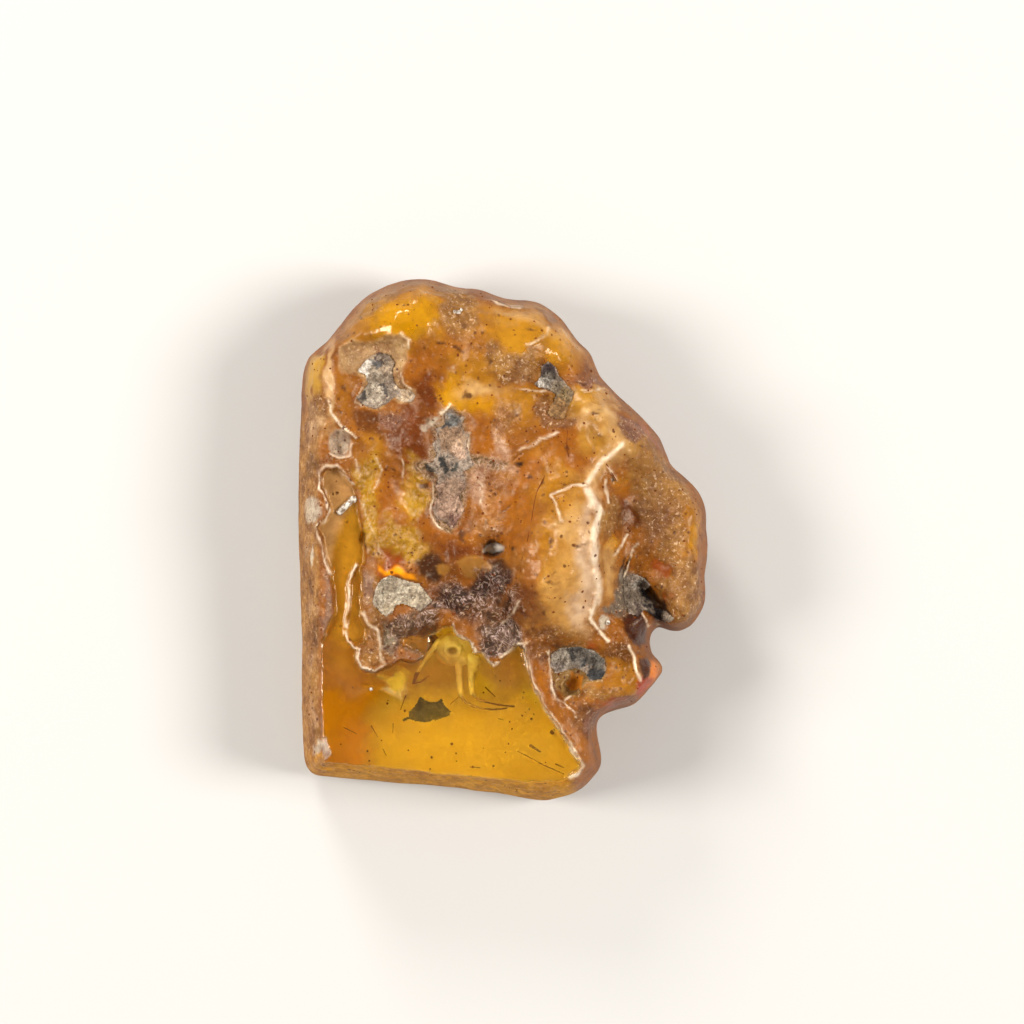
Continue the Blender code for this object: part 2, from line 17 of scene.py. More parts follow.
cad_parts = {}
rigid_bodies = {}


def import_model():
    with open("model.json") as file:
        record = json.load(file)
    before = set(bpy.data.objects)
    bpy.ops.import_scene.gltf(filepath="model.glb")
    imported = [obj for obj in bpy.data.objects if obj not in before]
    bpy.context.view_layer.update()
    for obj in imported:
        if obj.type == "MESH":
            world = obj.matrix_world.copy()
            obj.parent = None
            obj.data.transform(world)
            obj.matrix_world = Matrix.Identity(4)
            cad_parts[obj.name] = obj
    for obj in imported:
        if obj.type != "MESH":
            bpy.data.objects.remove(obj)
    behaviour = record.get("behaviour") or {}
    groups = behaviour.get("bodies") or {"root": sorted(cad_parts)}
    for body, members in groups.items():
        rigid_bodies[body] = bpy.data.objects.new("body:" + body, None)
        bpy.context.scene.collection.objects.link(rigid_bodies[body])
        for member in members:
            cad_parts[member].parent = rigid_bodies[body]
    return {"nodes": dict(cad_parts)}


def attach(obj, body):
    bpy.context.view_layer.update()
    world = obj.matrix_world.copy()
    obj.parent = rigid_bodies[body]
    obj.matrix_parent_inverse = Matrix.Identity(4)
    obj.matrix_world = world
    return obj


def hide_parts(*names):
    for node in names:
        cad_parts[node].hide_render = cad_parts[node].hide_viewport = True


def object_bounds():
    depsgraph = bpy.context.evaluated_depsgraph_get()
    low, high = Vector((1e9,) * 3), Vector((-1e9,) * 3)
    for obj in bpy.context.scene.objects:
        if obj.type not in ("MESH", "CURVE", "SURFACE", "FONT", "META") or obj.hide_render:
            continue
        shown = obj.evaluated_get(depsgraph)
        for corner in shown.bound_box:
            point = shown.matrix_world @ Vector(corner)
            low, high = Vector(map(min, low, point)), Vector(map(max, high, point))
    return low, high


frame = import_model()
CAD_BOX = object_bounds()
MM = 0.001

# ---- Measures ----

WINDOW_LEVEL = 7.4  # the polished window over the base
PARTING_LOW, PARTING_HIGH = 4.55, 4.85  # the two cut faces that part the amber's solids
ON_PARTING = 0.01  # points this close to a cut face lie on it
SKIN_VOXEL = 0.112  # the amber's grid before its plain parts are thinned out
FACET_SMOOTHING = 40  # passes that take the solids' facets out
PLAIN_KEPT = 0.1  # share of the faces kept on the flanks, the back and the window
PLAIN_SLOPE = 0.2  # a face that looks up less than this is on a flank or the back
PLAIN_INSET = 1.0  # how far inside the window's edge its faces are thinned out
FRONT_SLOPE = 0.15  # a face that looks up more than this is on the front
POLISH_EDGE = 0.16  # width of the step from the polish to the natural skin
CREST_WIDTH = 0.52  # how much of an edge's half width is painted pale, as wear and as highlight
FLANK_ROUGHNESS = 0.25  # how much of the skin's relief the flanks and the back have
FUSE_SCALE = 10.0  # how much a small piece is enlarged while it is remeshed
INSECT_VOXEL = 0.035
PLATE_STEP, CRUST_STEP = 0.05, 0.07  # the grids that the wing, the flake and the crusts are cut from
WING_THICKNESS, FLAKE_THICKNESS, CRUST_THICKNESS = 0.035, 0.12, 0.14
CRACK_RADIUS = 0.03
CRUST_GRAINS = 170  # loose grains on one crust, at most
CRUST_GRAIN_RADII, SKIN_SPECK_RADII = (0.035, 0.1), (0.025, 0.085)
SPECK_LEVELS, ROD_LEVELS = (3.2, 6.6), (4.0, 6.4)  # how high over the base they are sealed in
SKIN_SPECKS = 650  # dark grains scattered on the natural skin
SPECKS_FROM = 5.0  # the lowest place of such a grain over the base
SEED = 11

# Layers of lumps on the natural skin: (height, over what size, seed)
SKIN_SWELLS = ((0.11, 1.7, 5.0), (0.07, 0.6, 1.0))
SKIN_GRAINS = ((0.07, 0.3, 7.0), (0.06, 0.18, 9.0))
# How ragged an outline, a crust's colours and a patch's soft edge are: (how far, over what size)
FINE_WANDER = ((0.12, 0.7), (0.05, 0.25))
CRUST_WANDER = ((0.5, 0.7), (0.28, 0.3), (0.12, 0.12))
WIDE_WANDER = ((0.7, 1.6), (0.3, 0.6), (0.12, 0.22))

# The sawn flanks from above: the left one's edge and upper end, and the lower one's edge, which
# drops towards the right, and its two ends
SAWN_LEFT_EDGE, SAWN_LEFT_TOP = -10.75, 8.5
SAWN_LOWER_EDGE, SAWN_LOWER_RISE, SAWN_LOWER_ENDS = -13.2, 0.08, (-12.2, 4.6)

# The polished window from above. Its upper edge is where the natural skin begins.
WINDOW = (
    (-10.55, -13.25), (-10.75, -12.0), (-10.75, -9.0), (-10.7, -6.0), (-10.2, -4.6), (-9.95, -4.2),
    (-9.95, -3.0), (-10.15, -1.9), (-10.5, -0.8), (-10.65, 0.2), (-10.95, 0.8), (-10.5, 1.4),
    (-10.3, 2.2), (-10.5, 2.9), (-10.8, 3.6), (-10.5, 4.25), (-9.9, 4.4), (-9.2, 3.8), (-8.7, 3.0),
    (-8.5, 1.6), (-8.2, 0.2), (-8.2, -1.3), (-8.4, -1.5), (-8.2, -2.4), (-8.35, -4.4), (-8.0, -5.2),
    (-8.1, -6.1), (-8.65, -6.25), (-8.65, -7.2), (-8.3, -7.7), (-7.5, -7.85), (-6.6, -7.4),
    (-6.0, -7.05), (-5.3, -7.2), (-4.7, -6.9), (-4.4, -6.2), (-4.3, -5.6), (-3.6, -5.15), (-2.9, -4.95),
    (-2.6, -5.6), (-1.9, -6.0), (-1.5, -6.6), (-1.1, -6.6), (-0.8, -7.15), (-0.3, -7.3), (0.2, -6.8),
    (0.8, -6.2), (1.35, -6.35), (1.55, -7.4), (2.0, -8.8), (2.6, -9.95), (3.25, -10.8), (3.9, -11.9),
    (4.5, -12.9), (4.7, -13.5), (4.2, -14.05), (3.0, -14.35), (0.0, -14.25), (-3.0, -14.0),
    (-5.0, -13.75), (-7.0, -13.5), (-9.0, -13.3),
)

# Raised edges with pale crests. The pale paint is wear, and on the dome's crest, its foot and in the
# small hole it is a painted highlight: (half width, height, how pale they are painted, points from
# above)
RIDGES = {
    "window edge": (0.3, 0.34, 0.9, (
        (1.3, -6.2), (1.55, -7.4), (2.0, -8.8), (2.6, -9.95), (3.25, -10.8), (3.9, -11.9), (4.5, -12.9),
        (4.85, -13.4), (4.6, -13.8), (4.1, -14.1))),
    "band edge": (0.24, 0.25, 0.9, (
        (-8.8, 3.4), (-9.4, 4.0), (-9.8, 4.5), (-10.5, 4.4), (-10.9, 4.1), (-10.8, 3.2), (-10.5, 2.9),
        (-10.3, 1.8), (-10.5, 1.2), (-11.1, 0.9), (-10.9, 0.2), (-10.6, -0.4), (-10.5, -1.2),
        (-10.2, -1.9))),
    "plaque edge": (0.18, 0.2, 0.9, (
        (-8.6, -1.45), (-8.95, -1.9), (-9.1, -2.5), (-9.15, -3.6), (-9.35, -5.2), (-9.2, -5.9),
        (-8.8, -6.3), (-8.5, -6.35), (-8.6, -6.9), (-8.4, -7.5), (-7.6, -7.8), (-6.9, -7.3))),
    "plaque edge, inner": (0.25, 0.15, 0.7, (
        (-8.3, -4.2), (-7.9, -4.9), (-7.4, -5.3), (-7.2, -6.2), (-7.1, -7.2))),
    "dome edge": (0.42, 0.26, 1.0, ((7.2, 5.8), (6.5, 5.2), (6.0, 4.9), (5.6, 4.3), (5.1, 3.5))),
    "dome edge, thin": (0.2, 0.2, 0.9, (
        (5.0, 3.3), (4.2, 3.35), (3.6, 3.05), (2.85, 2.8), (3.15, 2.3), (3.3, 1.7), (3.45, 1.2))),
    # The dome's crest, its lower end and its foot: a painted highlight, where a lamp glints along the
    # dome's right side
    "dome crest": (0.6, 0.26, 1.15, (
        (5.05, 3.0), (5.5, 2.3), (5.85, 1.8), (5.6, 1.0), (5.45, 0.3), (5.5, -1.0))),
    "dome crest, lower": (0.5, 0.24, 0.7, ((5.5, -1.0), (5.65, -2.0), (5.75, -3.0), (5.6, -3.6))),
    "dome foot": (0.26, 0.25, 1.0, ((5.6, -3.5), (5.35, -4.2), (5.3, -4.6), (5.6, -5.1), (6.3, -5.9))),
    "dome side": (0.25, 0.15, 0.9, ((6.15, 3.6), (6.2, 3.0), (6.3, 2.4))),
    "dome side, upper": (0.14, 0.1, 0.8, ((6.3, 4.5), (6.6, 4.0), (6.8, 3.6))),
    "upper left edge": (0.2, 0.25, 1.0, (
        (-10.3, 8.4), (-10.1, 7.6), (-9.6, 6.9), (-9.1, 6.5), (-8.7, 6.1))),
    "upper right edge": (0.15, 0.2, 0.65, ((0.9, 9.0), (1.6, 8.95), (2.4, 8.9), (3.1, 8.9))),
    "right groove edge": (0.15, 0.15, 0.6, ((4.7, 8.95), (5.6, 9.0), (6.1, 9.2))),
    "neck edge": (0.26, 0.25, 1.0, ((7.5, -6.2), (7.8, -6.8), (7.95, -7.4), (8.2, -8.3))),
    "top edge": (0.22, 0.2, 1.0, ((-0.6, 14.45), (-0.2, 14.15), (0.4, 14.0), (1.1, 13.95))),
    "upper ridge": (0.25, 0.2, 0.35, ((2.75, 12.7), (2.7, 12.3), (2.2, 11.9), (1.5, 11.7))),
    "middle ridge": (0.2, 0.2, 0.7, ((3.2, 6.4), (2.3, 6.1), (1.7, 5.65), (1.1, 5.4))),
    "cross rim": (0.16, 0.16, 0.9, (
        (-3.5, 0.75), (-3.9, 1.0), (-4.2, 1.4), (-4.35, 1.9), (-4.1, 2.6), (-4.1, 3.4))),
    "cross rim, right": (0.16, 0.14, 0.9, ((-1.95, 6.4), (-2.05, 5.6), (-1.9, 5.0))),
    "cross rim, top": (0.18, 0.14, 0.9, ((-3.1, 8.1), (-3.6, 7.6))),
    "thread, middle": (0.12, 0.1, 0.7, (
        (-1.8, 3.9), (-1.2, 3.4), (-1.25, 2.4), (-1.0, 1.4), (-0.8, 0.8), (-0.3, 0.6))),
    "insect flap": (0.16, 0.16, 1.0, (
        (-2.9, -4.9), (-2.6, -5.6), (-1.9, -6.0), (-1.5, -6.6), (-1.1, -6.65), (-0.9, -7.05),
        (-0.5, -7.35), (-0.2, -7.2))),
    "net edge": (0.2, 0.16, 0.9, ((0.0, -6.9), (0.5, -6.5), (1.0, -6.1), (1.5, -6.0))),
    "net edge, right": (0.2, 0.15, 0.7, ((0.1, -4.9), (0.6, -4.3), (1.0, -3.6))),
    "lower pit rim": (0.18, 0.25, 0.8, (
        (2.8, -6.6), (2.85, -7.6), (2.95, -8.6), (3.2, -9.3), (3.7, -9.55), (4.1, -9.25))),
    "lower pit rim, tail": (0.14, 0.2, 0.9, ((3.7, -9.55), (4.2, -10.1), (4.4, -10.5))),
    "lobe ridge": (0.22, 0.2, 0.8, ((7.45, 0.4), (7.2, -0.2), (6.7, -0.8))),
    "lobe groove edge": (0.16, 0.2, 0.7, ((8.0, -0.1), (7.6, -1.1), (7.3, -2.1))),
    "lobe top edge": (0.2, 0.15, 0.8, ((10.1, 4.6), (10.5, 4.25), (11.0, 3.95))),
    "notch rim": (0.18, 0.2, 0.8, ((8.2, -3.7), (8.4, -4.4), (8.7, -5.1), (9.3, -4.95), (9.8, -5.15))),
    "left pit rim": (0.18, 0.15, 0.8, ((-10.2, 5.2), (-9.7, 4.95), (-9.0, 5.2), (-8.9, 5.8))),
    "pit lip": (0.16, 0.15, 0.9, ((-6.0, 12.35), (-5.6, 12.0), (-5.5, 11.5))),
    "pit lip, lower": (0.14, 0.15, 0.9, ((-6.05, 9.95), (-5.8, 9.4), (-5.4, 9.05))),
    "pit lip, left": (0.14, 0.15, 0.9, ((-8.3, 9.1), (-8.7, 8.4), (-8.3, 8.05))),
    "hole glint": (0.3, 0.22, 0.9, ((-1.1, -0.55), (-0.5, -0.45), (0.15, -0.35))),
    "crease, far left": (0.13, 0.12, 0.35, ((-8.7, 4.9), (-8.6, 4.2), (-8.45, 3.6))),
    "crease, left": (0.13, 0.12, 0.5, ((-7.5, 4.9), (-7.2, 4.3), (-7.3, 3.7), (-7.6, 3.1))),
    "crease, low": (0.15, 0.12, 0.45, (
        (-8.3, 2.3), (-8.1, 1.4), (-7.7, 0.6), (-7.4, -0.1), (-7.2, -0.7))),
    "crease, right": (0.13, 0.12, 0.4, ((-5.9, 4.9), (-5.85, 4.2), (-5.9, 3.4))),
}

# Hollows with an irregular outline: (depth, width of the wall, points from above)
PITS = {
    "upper left": (0.35, 0.3, (
        (-9.6, 11.5), (-9.0, 12.0), (-8.4, 11.8), (-7.5, 11.9), (-6.8, 12.2), (-6.0, 12.3),
        (-5.6, 12.0), (-5.5, 11.6), (-5.7, 10.8), (-5.9, 10.2), (-6.0, 9.8), (-5.7, 9.3), (-5.2, 9.0),
        (-5.1, 8.6), (-5.4, 8.2), (-6.0, 8.2), (-6.4, 8.5), (-6.8, 8.3), (-7.2, 7.9), (-7.8, 7.9),
        (-8.4, 8.1), (-8.7, 8.4), (-8.3, 8.9), (-8.1, 9.6), (-8.6, 9.9), (-9.4, 10.0), (-9.7, 10.6))),
    "cross": (0.22, 0.25, (
        (-2.9, 8.0), (-3.6, 7.8), (-3.7, 7.3), (-4.5, 7.2), (-4.2, 6.6), (-4.0, 5.9), (-4.3, 5.2),
        (-4.2, 4.8), (-5.2, 4.7), (-5.3, 4.2), (-4.6, 3.9), (-4.1, 3.5), (-4.3, 1.8), (-4.1, 1.1),
        (-3.5, 0.7), (-3.0, 0.5), (-2.6, 1.0), (-2.3, 2.0), (-2.0, 3.0), (-2.1, 4.2), (-1.6, 4.4),
        (-0.9, 4.3), (0.2, 4.2), (0.4, 4.7), (-0.8, 4.9), (-1.9, 5.2), (-1.9, 6.2), (-2.2, 6.6),
        (-2.3, 7.5))),
    "left pit": (0.3, 0.2, (
        (-10.25, 5.7), (-10.2, 6.2), (-9.9, 6.6), (-9.5, 6.65), (-9.15, 6.4), (-9.0, 5.9), (-9.1, 5.4),
        (-9.4, 5.1), (-9.8, 5.0), (-10.1, 5.25))),
    "plaque": (0.25, 0.2, (
        (-7.7, -3.6), (-7.5, -2.8), (-7.1, -2.2), (-6.5, -2.0), (-5.5, -2.3), (-4.8, -2.5),
        (-4.3, -3.1), (-4.1, -3.6), (-4.5, -4.2), (-5.0, -4.6), (-5.6, -5.3), (-6.1, -6.4),
        (-6.6, -7.0), (-7.2, -6.6), (-7.4, -5.2), (-7.5, -4.3))),
    "lower right": (0.3, 0.3, (
        (2.9, -6.6), (3.6, -6.3), (4.6, -6.2), (5.5, -6.5), (6.2, -7.0), (6.2, -7.8), (5.9, -8.3),
        (5.0, -8.5), (4.6, -9.2), (3.8, -9.3), (3.2, -8.7), (2.9, -7.5))),
    "upper right": (0.35, 0.25, (
        (2.1, 9.1), (2.2, 9.8), (2.5, 10.4), (2.9, 10.6), (3.2, 10.2), (3.5, 9.6), (4.2, 9.0),
        (4.1, 8.2), (3.6, 7.5), (3.0, 7.6), (2.9, 8.6))),
    "small hole": (0.5, 0.25, (
        (-1.2, -0.4), (-0.6, -0.05), (0.1, 0.0), (0.35, -0.4), (0.15, -0.8), (-0.6, -1.0),
        (-1.2, -0.8))),
    "slot": (0.3, 0.1, ((0.5, 4.9), (1.2, 5.35), (1.3, 5.2), (0.6, 4.75))),
    "dark oval": (0.3, 0.12, ((-8.4, 0.6), (-8.1, 0.5), (-8.05, 0.0), (-8.3, -0.2), (-8.5, 0.1))),
    "groove": (0.3, 0.15, (
        (7.8, -0.4), (7.95, -0.5), (7.4, -1.6), (7.15, -2.2), (7.0, -2.1), (7.3, -1.2))),
    "notch": (0.5, 0.3, (
        (7.9, -2.4), (8.5, -2.2), (9.0, -2.9), (9.8, -3.8), (10.2, -4.5), (9.6, -4.9), (8.8, -4.4),
        (8.2, -3.7))),
}

# How a kind of surface takes the light. Haze is the share that doesn't pass, and grain is how
# gritty it feels. Threads are curly pale ridges over dark hollows, and chips are pale bruises.
KINDS = {  # haze, roughness, grain, threads, chips
    "clear": (0.4, 0.11, 0.0, 0.0, 0.0),
    "glossy": (0.64, 0.32, 0.18, 0.0, 0.05),
    "satin": (0.8, 0.4, 0.35, 0.0, 0.25),
    "dark": (0.85, 0.3, 0.3, 0.0, 0.1),
    "laced": (0.85, 0.4, 0.6, 0.4, 0.2),
    "milky": (0.93, 0.28, 0.03, 0.0, 0.0),
    "crazed": (0.72, 0.26, 0.36, 0.3, 0.2),
    "bruised": (0.92, 0.42, 0.8, 0.2, 0.62),
    "threaded": (0.96, 0.42, 0.8, 1.0, 0.35),
    "matte": (0.97, 0.8, 0.7, 0.0, 0.35),
    "sawn": (0.9, 0.74, 0.9, 0.12, 0.3),
    "weathered": (0.78, 0.5, 0.5, 0.0, 0.06),
}
SKIN = ("#925413", "satin")
FLANK = ("#8e500c", "weathered")
WORN_AND_HIGHLIGHT = ("#e9d2b6", "milky")
SAWN_LEFT = ("#a27038", "sawn")
SAWN_LOWER = ("#d89618", "sawn")

# What the skin is made of, with some painted light and shade, from above, in the order in which it is
# laid on:
# (what it is, colour, kind, soft edge, strength, shapes)
# A shape is a list of points, or an ellipse: centre x, centre y, radius x, radius y, turn.
PATCHES = (
    ("golden skin", "#b27618", "glossy", 1.2, 0.9, (
        (-6.2, 13.0, 3.3, 2.0, 10), (1.0, 12.6, 3.2, 1.6, -12), (3.8, 11.4, 1.3, 1.2, 0),
        (-2.0, 9.6, 1.9, 1.9, 0), (0.9, 8.0, 1.6, 1.0, 0), (5.2, 7.9, 1.2, 0.9, 0),
        (-7.5, 5.6, 1.0, 0.7, 0), (2.2, 5.8, 0.9, 0.5, 25), (2.9, 0.2, 2.6, 5.0, -5),
        (11.2, 0.8, 0.8, 2.2, 0), (7.2, -8.0, 1.0, 1.4, 0), (5.6, -8.9, 0.8, 0.4, 0))),
    ("bright gold", "#e8a40c", "clear", 1.0, 0.95, (
        (-5.7, 13.2, 2.1, 1.2, 6), (-2.9, 8.6, 0.7, 0.9, 0), (-1.4, 7.7, 0.9, 0.35, 0))),
    ("clear gold", "#dc9a22", "clear", 0.6, 0.9, (
        (1.3, 12.4, 1.5, 0.8, -8), (3.5, 11.6, 0.9, 0.8, 0), (3.0, -1.9, 0.9, 0.8, 0),
        (-7.6, 2.4, 0.7, 1.9, 5), (-5.4, 2.3, 0.7, 1.0, 0), (5.3, 8.3, 0.9, 0.35, 10),
        (7.3, 3.2, 0.35, 0.6, 0), (6.6, -0.1, 0.5, 0.6, 0), (9.5, -7.5, 0.5, 0.4, 0),
        (11.4, 0.0, 0.5, 0.9, 0))),
    ("orange skin", "#9a560e", "glossy", 1.0, 0.85, (
        (-4.6, 10.2, 1.2, 1.8, 0), (-6.7, 2.6, 0.5, 2.7, 0), (-1.3, 6.4, 0.8, 1.1, 0),
        (3.4, 6.6, 1.4, 0.8, 0), (4.5, 5.3, 2.0, 1.1, -10), (1.6, 4.5, 1.2, 1.4, 0),
        (0.9, 1.4, 1.4, 2.6, 0), (1.9, -1.6, 0.7, 2.0, 0), (-3.8, 0.3, 1.6, 0.9, 0),
        (4.5, -11.9, 0.5, 1.2, 30), (2.3, -8.6, 0.4, 1.8, 18), (7.8, 2.4, 1.0, 1.3, 0))),
    ("brown depths", "#622a06", "dark", 0.9, 0.93, (
        (-5.4, 6.3, 1.2, 2.1, 5), (-4.6, 8.9, 0.9, 0.9, 0), (1.7, -3.9, 0.8, 1.1, 0),
        (-2.6, -0.7, 1.5, 0.5, -15), (7.7, 1.6, 0.9, 0.7, 0))),
    ("darkest brown", "#63330f", "dark", 0.6, 0.95, (
        (-8.2, 7.1, 0.8, 0.7, 0), (-9.6, 11.4, 0.25, 0.5, -20), (-7.3, 6.4, 0.8, 0.4, -20),
        (2.75, 13.6, 0.55, 0.38, -20), (-4.4, -1.1, 0.4, 0.5, 0))),
    ("dull gold, left", "#9c5f14", "glossy", 0.5, 0.9, ((-9.3, 8.8, 0.6, 1.5, 0),)),
    ("tan rim", "#94672f", "satin", 0.5, 0.8, (
        (-7.8, 14.0, 2.6, 0.45, 40), (-4.5, 15.2, 2.2, 0.4, -5), (1.8, 14.1, 1.4, 0.3, -12),
        (5.3, 10.9, 0.4, 1.2, 25), (6.9, 8.9, 1.4, 0.3, -42), (8.6, 4.9, 1.4, 1.8, 0))),
    ("left strip", "#c8962c", "glossy", 0.4, 0.9, ((-11.4, 9.9, 0.6, 1.7, 0),)),
    ("left strip, milky", "#c49a68", "milky", 0.3, 0.95, ((-10.35, 9.3, 0.35, 2.6, -3),)),
    ("tan patches", "#986930", "bruised", 0.7, 0.85, (
        (-2.5, 13.9, 0.9, 1.6, 10), (0.9, 10.4, 1.5, 1.1, 0), (0.2, 7.2, 0.6, 0.8, 0),
        (9.2, 2.0, 1.2, 1.7, 0), (10.1, 0.4, 0.5, 1.4, 10), (10.6, -3.0, 1.3, 2.2, 10),
        (-7.7, -4.6, 0.5, 3.0, 0), (-7.4, -6.9, 0.9, 0.6, 10), (6.4, 1.4, 0.8, 0.8, 0),
        (5.7, -9.3, 1.2, 0.4, 0), (-11.4, 7.3, 0.7, 1.2, 0), (-0.3, 11.2, 0.7, 0.6, 0),
        (10.3, 3.2, 1.0, 1.0, 0), (9.9, 2.2, 0.7, 2.6, 0))),
    ("rough brown", "#76461c", "bruised", 0.6, 0.85, (
        (3.3, 7.7, 0.9, 0.8, 0), (8.8, 0.9, 0.7, 1.4, 0), (3.3, -5.4, 2.0, 0.5, 5),
        (2.4, -6.5, 0.7, 0.5, 0), (7.2, -6.8, 0.9, 0.7, 0), (-6.1, -4.6, 0.9, 0.6, 0),
        (9.3, 1.4, 0.5, 0.9, 0), (4.9, -10.6, 0.7, 0.5, 0))),
    ("khaki skin", "#b5812f", "glossy", 0.9, 0.85, (
        (5.6, 6.6, 1.3, 1.7, 20), (7.4, 6.0, 0.9, 1.0, -35), (4.6, 8.3, 1.5, 0.6, 0))),
    ("pale fold", "#c89c62", "milky", 0.8, 0.85, (
        (6.4, 7.0, 0.5, 1.5, 12), (7.2, 5.9, 0.5, 1.2, -30), (5.2, 7.7, 0.8, 0.3, 30),
        (1.6, 13.1, 1.2, 0.2, -25), (4.1, 1.0, 0.9, 1.2, 0), (6.4, -1.6, 0.35, 1.3, 0),
        (-1.2, 8.8, 1.2, 0.4, 0), (
        (7.6, 6.2), (7.4, 5.4), (6.7, 4.7), (6.1, 4.2), (5.6, 3.5), (5.0, 3.3), (5.1, 4.2), (5.8, 5.0),
        (6.4, 5.6), (7.0, 6.4)))),
    ("dome haze", "#b98848", "milky", 1.6, 0.8, (
        (4.2, -2.9, 1.6, 2.6, 0), (4.7, 1.0, 0.9, 2.2, 0), (3.6, -4.2, 1.4, 0.7, 0))),
    # Pale haze beside the dome's crest: frosted skin, and the painted glow round the crest's highlight
    ("pale haze and painted highlight, by the crest", "#cca988", "milky", 1.0, 0.9, (
        (5.0, -1.6, 0.5, 2.6, 0), (5.1, 2.0, 0.4, 0.9, 0), (4.7, -4.0, 0.5, 0.9, 10))),
    ("pink and purple", "#7c4d3a", "bruised", 0.4, 0.9, (
        (-6.6, 7.2, 0.8, 0.6, 0), (7.8, 6.9, 0.7, 0.6, -45), (5.2, 9.4, 1.0, 0.3, 0),
        (5.4, -10.8, 0.35, 0.6, 0), (7.6, -9.6, 0.8, 0.3, 15), (3.5, -8.8, 0.35, 0.5, 0))),
    ("dark stains on the band", "#744a1c", "sawn", 0.5, 0.75, (
        (-11.7, -2.6, 0.5, 0.6, 0), (-11.3, -5.6, 0.5, 0.8, 10), (-11.9, -8.6, 0.3, 1.0, 0),
        (-11.4, 4.3, 0.6, 0.5, 0), (-11.2, -11.2, 0.3, 0.6, 0), (-11.9, 1.2, 0.3, 0.6, 0))),
    ("pale stains on the band", "#bb9470", "sawn", 0.5, 0.7, (
        (-11.5, 6.4, 0.6, 0.9, 0), (-11.8, 0.0, 0.3, 0.5, 0), (-11.6, -4.1, 0.4, 0.5, 0),
        (-11.6, -7.2, 0.3, 0.4, 0), (-11.7, -10.2, 0.4, 0.6, 0), (-11.4, -13.6, 0.6, 0.4, 30))),
    ("lobe rim", "#8a5220", "satin", 0.4, 0.8, ((11.9, -1.5, 0.35, 2.8, 3),)),
    ("mauve crystals", "#94705c", "bruised", 0.3, 0.85, (
        (-10.5, -4.2, 0.25, 1.5, 4), (-10.4, -2.2, 0.2, 0.6, 0), (-8.0, -2.6, 0.3, 1.0, 0))),
    ("red skin", "#96400c", "glossy", 0.4, 0.9, (
        (9.2, 6.4, 1.1, 0.35, -55), (8.6, -8.6, 0.7, 0.5, 40), (5.5, -6.0, 0.6, 0.3, -30),
        (9.5, -1.6, 0.6, 0.5, 0), (9.9, -3.1, 0.35, 0.35, 0), (-6.9, -1.3, 0.9, 0.5, -10),
        (6.6, -9.9, 0.9, 0.3, 10))),
    ("bright nub", "#e87c00", "satin", 0.3, 0.97, ((
        (8.5, -8.0), (8.7, -7.4), (9.1, -6.9), (9.7, -6.8), (10.1, -7.3), (10.0, -7.9), (9.5, -8.6),
        (8.9, -9.1), (8.6, -8.7)),)),
    ("red nub", "#ac2e00", "satin", 0.3, 0.95, ((
        (7.9, -8.7), (8.1, -8.2), (8.5, -7.9), (8.9, -8.2), (9.1, -8.8), (8.6, -9.3), (8.1, -9.3)),)),
    ("yellow creases", "#ba8a1e", "crazed", 0.5, 0.9, (
        (-8.1, 4.0, 0.7, 1.3, 0), (-7.7, 1.4, 0.6, 2.2, 8), (-6.2, 0.4, 1.2, 0.8, -10),
        (-5.5, 4.0, 0.4, 1.0, 0), (-5.0, 2.2, 0.8, 1.0, 0), (-5.5, -0.8, 0.9, 0.7, 0))),
    # A bright orange streak: the painted glow of light that a fracture inside reflects
    ("fire", "#f09408", "milky", 0.25, 0.95, ((
        (-7.4, -1.4), (-7.0, -1.75), (-6.6, -1.7), (-6.2, -1.5), (-5.7, -1.8), (-5.2, -2.0),
        (-5.1, -2.3), (-5.7, -2.25), (-6.3, -2.0), (-6.9, -2.0), (-7.4, -1.75)),)),
    ("pink field", "#ae7238", "laced", 0.7, 0.8, (
        (-0.7, 3.5, 1.2, 1.4, 0), (-1.0, 1.2, 1.0, 0.7, 0), (0.3, 4.2, 0.5, 0.9, 0),
        (0.0, 6.4, 0.4, 1.2, 0))),
    ("brown round the crust", "#7a4214", "dark", 1.3, 0.65, (
        (0.3, -3.0, 1.6, 1.9, 0), (-2.8, -2.0, 1.9, 0.8, 0), (-3.9, -1.6, 0.9, 0.6, 0))),
    ("brown by the lenses", "#34180a", "dark", 0.4, 0.93, ((
        (-5.1, -1.2), (-4.5, -0.7), (-3.7, -0.9), (-3.3, -1.7), (-3.7, -2.5), (-4.4, -2.3),
        (-4.9, -1.9)), (
        (-0.7, -1.1), (0.0, -1.0), (0.6, -1.7), (0.5, -2.6), (-0.5, -2.5), (-0.8, -1.9)))),
    ("orange lenses", "#9c6a2c", "glossy", 0.2, 0.95, ((
        (-2.7, -1.2), (-2.1, -0.85), (-1.2, -0.9), (-0.6, -1.4), (-0.8, -1.9), (-1.5, -2.3),
        (-2.2, -2.1)), (
        (-3.9, -1.5), (-3.5, -1.3), (-3.1, -1.5), (-3.2, -2.0), (-3.7, -2.0)))),
    ("purple crust", "#462a24", "threaded", 0.7, 0.95, (
        (-2.6, -3.4, 1.7, 0.8, -8), (-0.9, -3.0, 1.0, 1.0, 0), (-0.6, -2.2, 0.9, 0.6, 0),
        (-4.0, -3.6, 0.6, 0.5, 0))),
    ("brown crust", "#684026", "threaded", 0.7, 0.9, (
        (-1.0, -4.3, 1.3, 0.6, 0), (0.6, -3.9, 0.5, 0.9, -30))),
    ("net crust", "#5c4236", "threaded", 0.5, 0.95, (
        (0.1, -5.6, 1.4, 0.9, 10), (-0.6, -6.3, 0.7, 0.6, 0), (0.9, -6.2, 0.7, 0.4, 10))),
    ("granular patch", "#6e4e3a", "threaded", 0.4, 0.95, (
        (-6.6, -5.8, 0.8, 1.3, 5), (-5.8, -4.9, 1.0, 0.9, 0), (-4.7, -4.5, 0.6, 0.5, 0))),
